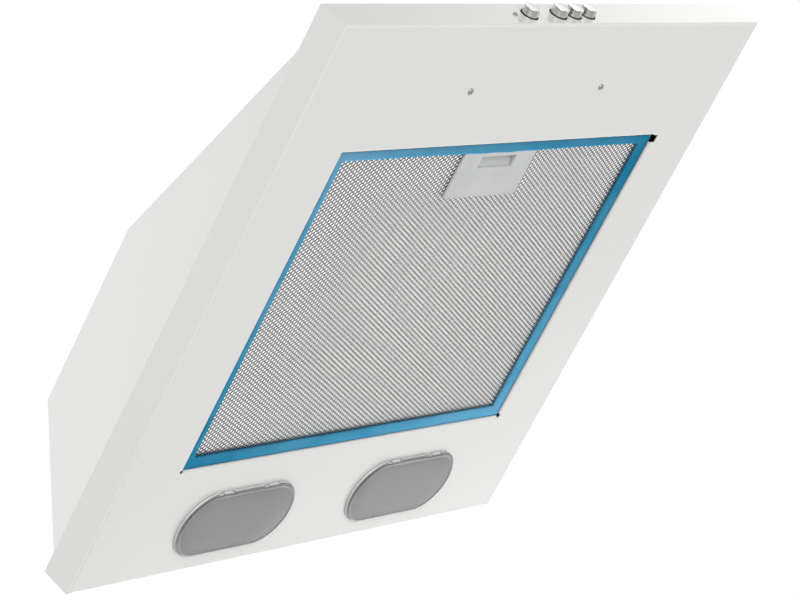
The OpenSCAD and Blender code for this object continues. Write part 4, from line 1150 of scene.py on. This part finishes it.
@dataclass
class ProtectiveFilm:
    """The film round the filter's frame: it clings to the legs, waves and laps round both edges.

    Each point of the section says how far it lies between the frame's outer edge (0) and the
    window's edge (1), its height over the frame's lowest face in millimetres, and how much it
    takes part in the waves.
    """

    legs: FrameLegs = FrameLegs()
    section: tuple[tuple[float, float, float], ...] = (
        (0.0, 4.0, 0.0),
        (0.0, 2.0, 0.0),
        (0.0, 1.0, 0.0),
        (0.025, 0.35, 0.0),
        (0.07, 0.06, 0.1),
        (0.13, 0.0, 0.4),
        (0.3, 0.0, 0.9),
        (0.5, 0.0, 1.0),
        (0.7, 0.0, 0.9),
        (0.85, 0.0, 0.8),
        (0.96, 0.0, 0.5),
        (1.0, 0.08, 0.2),
        (1.015, 0.6, 0.0),
        (1.02, 1.7, 0.0),
    )
    clear: float = 0.05 * MM  # between the frame and the film
    left_lap: float = 0.1 * MM  # how far the film reaches past the frame
    right_lap: float = 0.8 * MM
    rear_lap: float = 1.45 * MM
    lift: float = 0.22 * MM
    lift_mean: float = 0.45
    lift_swing: float = 0.35
    lift_most: float = 1.2
    waves: tuple[Wave, ...] = (Wave(1.0, 61.0), Wave(0.7, 143.0, 1.3), Wave(0.5, 239.0, 0.4))
    bulge: float = 1.4 * MM
    bulge_w: float = 55.0 * MM
    bulge_mean: float = 0.75
    bulge_wave: Wave = Wave(0.25, 190.0)
    bulge_from: float = 0.3  # how far across the leg the bulge starts
    thickness: float = 0.06 * MM
    step: float = 2.5 * MM  # along the legs

    def track(self, width: float, depth: float) -> tuple[Array, Array, Array]:
        """Goes round the frame from its front left corner, over the front right one.

        Args:
            width: the frame's size in x.
            depth: the frame's size in y.

        Returns:
            For each point: its share of the width, its share of the depth, and the way to it.
        """
        along_x, along_y = int(width / self.step), int(depth / self.step)
        t_x, t_y = np.arange(along_x) / along_x, np.arange(along_y) / along_y
        share_x = np.concatenate([t_x, np.ones(along_y), 1 - t_x, np.zeros(along_y)])
        share_y = np.concatenate([np.zeros(along_x), t_y, np.ones(along_x), 1 - t_y])
        right = width + t_y * depth
        rear = width + depth + t_x * width
        left = 2 * width + depth + t_y * depth
        return share_x, share_y, np.concatenate([t_x * width, right, rear, left])

    def build(self) -> None:
        """Makes the film in place of its node.

        The section is carried round the frame. The film hangs off the legs by
        lift * (lift_mean + lift_swing * the sum of the waves), where the bracket is held between
        0 and lift_most, and most so in the middle of a leg's width. At the front its inner edge
        bulges over the handle by bulge * exp(-(x / bulge_w)^2) * (bulge_mean + its own wave).
        """
        low, high = box_of("filter_frame")
        outwards = np.array([-1.0, 1.0, -1.0, 1.0])
        laps = np.array([-self.left_lap, self.right_lap, 0.0, self.rear_lap])
        outer = np.array([low[0], high[0], low[1], high[1]]) + self.clear * outwards + laps
        inner = np.stack(self.legs.window(low, high), axis=1).ravel()
        across, rise, cling = np.array(self.section).T
        rise = rise * MM - self.clear
        share_x, share_y, way = self.track(high[0] - low[0], high[1] - low[1])
        ring = outer[None] + (inner - outer)[None] * across[:, None]
        x = ring[None, :, 0] + (ring[:, 1] - ring[:, 0])[None] * share_x[:, None]
        y = ring[None, :, 2] + (ring[:, 3] - ring[:, 2])[None] * share_y[:, None]
        waves = sum(wave.height(way) for wave in self.waves)
        swing = np.clip(self.lift_mean + self.lift_swing * waves, 0, self.lift_most)
        z = low[2] + rise[None] - self.lift * swing[:, None] * cling[None]
        front = (share_y == 0) & (share_x > 0) & (share_x < 1)
        edge_x = x[:, -1]
        bell = np.exp(-((edge_x / self.bulge_w) ** 2))
        bell = bell * (self.bulge_mean + self.bulge_wave.height(edge_x))
        bulging = np.clip(across - self.bulge_from, 0, 1)
        y = y + np.where(front, self.bulge * bell, 0.0)[:, None] * bulging[None]
        points = np.stack([x, y, z], axis=-1)
        faces = grid_quads(*points.shape[:2], close_rows=True)
        piece = add_piece("film_strips", points, faces, [FILM], angle=60)
        wall = piece.modifiers.new("film thickness", "SOLIDIFY")
        wall.thickness = self.thickness
        wall.offset = 0.0
        settle(piece, "filter", "protective_film")


@dataclass
class FilterCassette:
    """The grease filter: frame, meshes, film, handle with its latch, and hinge pins."""

    legs: FrameLegs = FrameLegs()
    mesh_over_edge: float = 4.0 * MM
    lower_rise: float = -0.78 * MM  # of the strands' middle over the node's lowest face
    upper_rise: float = -0.52 * MM  # of the strands' middle over the node's highest face
    pocket_half_w: float = 23.0 * MM
    pocket_d: float = 22.6 * MM
    pocket_margin: float = 1.2 * MM
    handle_inset: float = 0.8 * MM  # how far the strands reach in behind the handle
    handle_edge_r: float = 0.35 * MM
    latch_edge_r: float = 0.3 * MM

    def taken(self, points: Array) -> Array:
        """Finds what lies inside the latch's pocket or behind the handle.

        Args:
            points: one line of x, y, z for each point.

        Returns:
            True for each point that does.
        """
        low, high = box_of("filter_handle")
        in_x = np.abs(points[:, 0] - (low[0] + high[0]) / 2) < self.pocket_half_w + self.pocket_margin
        at_pocket = in_x & (points[:, 1] < low[1] + self.pocket_d + self.pocket_margin)
        plan = points[:, :2]
        inside = (plan > low[:2] + self.handle_inset) & (plan < high[:2] - self.handle_inset)
        return at_pocket | inside.all(axis=1)

    def build(self) -> None:
        """Builds the cassette's pieces from the frame's box outwards."""
        finish_node("filter_frame", ALUMINIUM)
        finish_node("filter_pins", PLATED)
        finish_node("filter_pack", LAYERS)
        corners = self.legs.window(*box_of("filter_frame"), over=self.mesh_over_edge)
        lowest = box_of("filter_mesh_lower")[0][2]
        highest = box_of("filter_mesh_upper")[1][2]
        lower = ExpandedMesh("mesh_sheet_lower", "filter_mesh_lower")
        lower.build(*corners, lowest + self.lower_rise, self.taken)
        upper = ExpandedMesh("mesh_sheet_upper", "filter_mesh_upper")
        upper.build(*corners, highest + self.upper_rise)
        ProtectiveFilm(self.legs).build()
        plate = softened("filter_handle", "handle_moulding", self.handle_edge_r, HANDLE_GREY)
        settle(plate, "filter", "filter_handle")
        slider = softened("filter_latch", "latch_slider", self.latch_edge_r, HANDLE_GREY)
        settle(slider, "latch", "filter_latch")


class CoverPart(Enum):
    """What a face of a lamp cover belongs to, with the number of its finish."""

    PLATE = 0
    RIM_EDGE = 1
    TAB = 2


@dataclass
class LampCover:
    """Oval tray shaped lamp cover with a clear rim edge and two snap tabs in front.

    The section goes from the plate's middle over its bead and the bevelled rim to the rim's top,
    up the skirt, and back inside to the middle. Its points are (inset from the outline, height
    over the lowest face) in millimetres. The skirt has four insets alone, because its height is
    the node's own. A column of faces joins each point to the next, and a range of columns is
    given as its first column and the one after its last.
    """

    side: Side
    outside: tuple[tuple[float, float], ...] = (
        (20.0, 0.12),
        (9.0, 0.2),
        (5.0, 0.3),
        (4.2, 0.3),
        (3.8, 0.26),
        (3.4, 0.08),
        (3.0, 0.0),
        (2.3, 0.02),
        (1.6, 0.22),
        (0.9, 0.7),
        (0.35, 1.3),
        (0.08, 1.9),
        (0.0, 2.5),
        (0.2, 2.95),
        (4.3, 3.0),
    )
    middle_low: float = 0.1
    middle_high: float = 1.9
    skirt: tuple[float, float, float, float] = (4.3, 4.7, 5.5, 5.9)
    skirt_bevel: float = 0.4
    inside: tuple[tuple[float, float], ...] = ((5.9, 2.6), (6.8, 2.1), (9.0, 2.0))
    edge_columns: tuple[int, int] = (11, 15)
    tab_columns: tuple[int, int] = (10, 15)
    straight_steps: int = 40
    arc_steps: int = 48
    tab_x: float = 25.5 * MM
    tab_w: float = 9.5 * MM
    slit_left: float = 6.0 * MM
    slit_right: float = 2.4 * MM
    slit_depth: float = 2.0 * MM
    slit_top: float = 3.2 * MM
    wall_step: float = 0.02 * MM  # two points stand this far to either side of a slit's wall
    front_y: float = -0.8  # the outline faces the front where its normal has a lower y

    def path(self, width: float, depth: float) -> tuple[Array, Array]:
        """Middle points and outward normals round a stadium.

        The front straight runs to +X and the path goes on over the right arc, the rear
        straight and the left arc. The outline lies at middle + depth / 2 * normal. On the front
        straight and the first degrees of the arcs, extra points stand at the slits' walls.

        Args:
            width: overall width.
            depth: overall depth.

        Returns:
            Middle points and normals, one line of (x, y) each.
        """
        half, radius = (width - depth) / 2, depth / 2
        ends = np.array([end for slit in self.slits() for end in slit])
        walls = (ends[:, None] + np.array([-self.wall_step, self.wall_step])).ravel()
        straight = np.linspace(-half, half, self.straight_steps)
        front_x = np.sort(np.concatenate([straight, walls[np.abs(walls) < half]]))
        arc = np.linspace(-np.pi / 2, np.pi / 2, self.arc_steps)[1:-1]
        past = np.abs(walls) >= half
        right_wall = -np.arccos((walls[past & (walls > 0)] - half) / radius)
        left_wall = -np.arccos((-walls[past & (walls < 0)] - half) / radius)
        right_a = np.sort(np.concatenate([arc, right_wall]))
        left_a = np.sort(np.concatenate([arc, left_wall]))[::-1]
        turns = [
            (np.stack([front_x, 0 * front_x], axis=1), np.tile([0.0, -1.0], (len(front_x), 1))),
            (np.tile([half, 0.0], (len(right_a), 1)), np.stack([np.cos(right_a), np.sin(right_a)], axis=1)),
            (np.stack([-straight, 0 * straight], axis=1), np.tile([0.0, 1.0], (len(straight), 1))),
            (np.tile([-half, 0.0], (len(left_a), 1)), np.stack([-np.cos(left_a), np.sin(left_a)], axis=1)),
        ]
        return np.concatenate([turn[0] for turn in turns]), np.concatenate([turn[1] for turn in turns])

    def slits(self) -> list[tuple[float, float]]:
        """Finds the slits: a wide one left of each snap tab, a narrow one right of it.

        Returns:
            Lowest and highest x of each.
        """
        found = []
        for tab in (-self.tab_x, self.tab_x):
            left, right = tab - self.tab_w / 2, tab + self.tab_w / 2
            found += [(left - self.slit_left, left), (right, right + self.slit_right)]
        return found

    def section(self, radius: float, top: float) -> tuple[Array, Array]:
        """The whole section, from the plate's middle and back to it.

        Args:
            radius: the inset of the plate's middle.
            top: height of the skirt.

        Returns:
            Inset from the outline and height over the lowest face of each point, in metres.
        """
        middle, ridge = radius / MM, top / MM
        outer_foot, outer_top, inner_top, inner_foot = self.skirt
        millimetres = np.array(
            [
                (middle, self.middle_low),
                *self.outside,
                (outer_foot, ridge - self.skirt_bevel),
                (outer_top, ridge),
                (inner_top, ridge),
                (inner_foot, ridge - self.skirt_bevel),
                *self.inside,
                (middle, self.middle_high),
            ]
        )
        return millimetres[:, 0] * MM, millimetres[:, 1] * MM

    def kinds(self, at_tab: Array, columns: int) -> Array:
        """Tells the faces of the rim's edge and of the tabs from the others.

        Args:
            at_tab: for each row of faces, whether a tab is there.
            columns: number of faces in a row.

        Returns:
            Number of each face's part, row by row.
        """
        column = np.arange(columns)
        edge = (column >= self.edge_columns[0]) & (column < self.edge_columns[1])
        tab = (column >= self.tab_columns[0]) & (column < self.tab_columns[1])
        kind = np.where(edge, CoverPart.RIM_EDGE.value, CoverPart.PLATE.value)
        return np.where(tab[None] & at_tab[:, None], CoverPart.TAB.value, kind[None]).ravel()

    def build(self) -> None:
        """Makes the cover in place of its node.

        Point (i, j) lies at middle_i + (radius - inset_j) * normal_i, at the section's height j.
        Where a slit cuts the rim, no inset is smaller than the slit's depth.
        """
        node = "lamp_cover_" + self.side.value
        low, high = box_of(node)
        width, depth = high[0] - low[0], high[1] - low[1]
        centre = np.array([(low[0] + high[0]) / 2, (low[1] + high[1]) / 2, low[2]])
        radius = depth / 2
        inset, height = self.section(radius, high[2] - low[2])
        middles, normals = self.path(width, depth)
        x = middles[:, 0] + radius * normals[:, 0]
        front = normals[:, 1] < self.front_y
        cut = np.zeros(len(middles), dtype=bool)
        for start, end in self.slits():
            cut |= front & (x > start) & (x < end)
        at_tab = front & (np.abs(np.abs(x) - self.tab_x) < self.tab_w / 2)
        rim_part = (inset < self.slit_depth) & (height < self.slit_top)
        insets = np.where(rim_part[None] & cut[:, None], self.slit_depth, inset[None])
        plan = middles[:, None] + (radius - insets)[..., None] * normals[:, None]
        heights = np.tile(height, (len(middles), 1))
        points = np.concatenate([plan, heights[..., None]], axis=-1)
        faces = grid_quads(*insets.shape, close_rows=True)
        name = "diffuser_" + self.side.value
        finishes = [LENS, CLEAR_EDGE, HANDLE_GREY]
        kind = self.kinds(at_tab, len(inset) - 1)
        piece = add_piece(name, points + centre, faces, finishes, kind, angle=40)
        settle(piece, node, node)


@dataclass
class LampUnit:
    """One lamp: cover, box, holder and bulb."""

    side: Side

    def build(self) -> None:
        """Builds the cover and dresses what lies behind it."""
        LampCover(self.side).build()
        finish_node("lamp_box_" + self.side.value, ZINC)
        finish_node("lamp_holder_" + self.side.value, WHITE_PLASTIC)
        finish_node("bulb_" + self.side.value, BULB_GLASS)


# ------------------------------------------------------------------ studio


@dataclass(frozen=True)
class Glow:
    """A large soft light far away: a round patch of the world that fades out towards its edge.

    It lies in the direction towards, has its full tone within full degrees of its middle and
    nothing past faded degrees.
    """

    towards: tuple[float, float, float]
    full: float
    faded: float
    tone: float

    def add_to(self, graph: Graph, direction: bpy.types.NodeSocket) -> bpy.types.NodeSocket:
        """Adds the patch to the world's tree.

        Args:
            graph: the world's tree.
            direction: the direction looked along.

        Returns:
            Its tone, which falls from full degrees off the middle to nothing at faded degrees.
        """
        middle = tuple(Vector(self.towards).normalized())
        product = graph.add("VectorMath", {0: direction, 1: middle}, operation="DOT_PRODUCT")
        values = {
            "Value": product.outputs["Value"],
            "From Min": math.cos(math.radians(self.faded)),
            "From Max": math.cos(math.radians(self.full)),
            "To Max": self.tone,
        }
        return graph.add("MapRange", values, interpolation_type="SMOOTHSTEP").outputs["Result"]


@dataclass
class Studio:
    """White studio with a pale floor below, large soft lights and the camera."""

    eye: tuple[float, float, float] = (-1.74271, -1.08366, -1.24326)
    forward: tuple[float, float, float] = (0.77621, 0.41922, 0.47091)
    up: tuple[float, float, float] = (0.07608, -0.80373, 0.59011)
    lens: float = 134.26
    sensor: float = 36.0
    floor_depth: float = 1.7
    floor_reach: float = 1.8
    floor_sides: int = 64
    farthest: float = 100.0
    level: float = 0.66
    slope: tuple[float, float, float] = (0.11, 0.55, 0.0)
    glows: tuple[Glow, ...] = (
        Glow((-0.50, -0.85, -0.45), full=14.0, faded=40.0, tone=3.5),
        Glow((0.30, -0.10, -1.00), full=14.0, faded=50.0, tone=1.08),
        Glow((0.75, 0.60, -0.10), full=14.0, faded=24.0, tone=1.35),
        Glow((0.95, -0.20, 0.25), full=12.0, faded=21.0, tone=1.1),
        Glow((0.22, 0.42, 0.88), full=8.0, faded=35.0, tone=0.13),
    )

    def world(self) -> None:
        """White to the camera. What lights the hood is darker towards the front and the left.

        The tone along a direction d is level + slope . d, plus the tones of the glows.
        """
        world = bpy.data.worlds.new("studio")
        bpy.context.scene.world = world
        world.use_nodes = True
        world.node_tree.nodes.clear()
        graph = Graph(world.node_tree)
        direction = graph.add("TexCoord").outputs["Generated"]
        tilt = graph.add("VectorMath", {0: direction, 1: self.slope}, operation="DOT_PRODUCT")
        tone = graph.reckon("ADD", tilt.outputs["Value"], self.level)
        for glow in self.glows:
            tone = graph.reckon("ADD", tone, glow.add_to(graph, direction))
        seen = graph.add("LightPath").outputs["Is Camera Ray"]
        colour = graph.mix(seen, tone, (1.0, 1.0, 1.0))
        ground = graph.add("Background", {"Color": colour, "Strength": 1.0})
        graph.add("OutputWorld", {"Surface": ground.outputs["Background"]})

    def floor(self) -> None:
        """A plain round floor, far below the hood."""
        turn = np.arange(self.floor_sides) * 2 * np.pi / self.floor_sides
        edge = np.stack([np.cos(turn), np.sin(turn)], axis=1) * self.floor_reach
        points = np.column_stack([edge, np.full(len(edge), -self.floor_depth)])
        add_piece("floor", points, [range(len(points))], [FLOOR])

    def camera(self) -> None:
        """The camera, from its place and the two directions that it looks and stands along."""
        forward, up = Vector(self.forward).normalized(), Vector(self.up).normalized()
        right = forward.cross(up).normalized()
        up = right.cross(forward)
        turn = Matrix((right, up, -forward)).transposed()
        camera = link_new("camera", bpy.data.cameras.new("camera"))
        camera.data.lens = self.lens
        camera.data.sensor_width = self.sensor
        camera.data.clip_end = self.farthest
        camera.matrix_world = Matrix.Translation(self.eye) @ turn.to_4x4()
        bpy.context.scene.camera = camera

    def build(self) -> None:
        """Sets up world, floor and camera."""
        self.world()
        self.floor()
        self.camera()
        bpy.context.scene.view_settings.view_transform = "Standard"


# ------------------------------------------------------------------ the hood


def main() -> None:
    """Builds the studio and the hood's sub-assemblies in order."""
    logging.basicConfig(level=logging.INFO, format="%(name)s: %(message)s")
    buttons = ("button_light", "button_speed_1", "button_speed_2", "button_speed_3")
    parts = (
        Studio(),
        SheetMetalBody(),
        Ductwork(),
        Blower(),
        Electrics(),
        *(PushButton(node) for node in buttons),
        CrossScrews(),
        FilterCassette(),
        LampUnit(Side.LEFT),
        LampUnit(Side.RIGHT),
    )
    for part in parts:
        log.info("building %s", type(part).__name__)
        part.build()


if __name__ == "__main__":
    main()
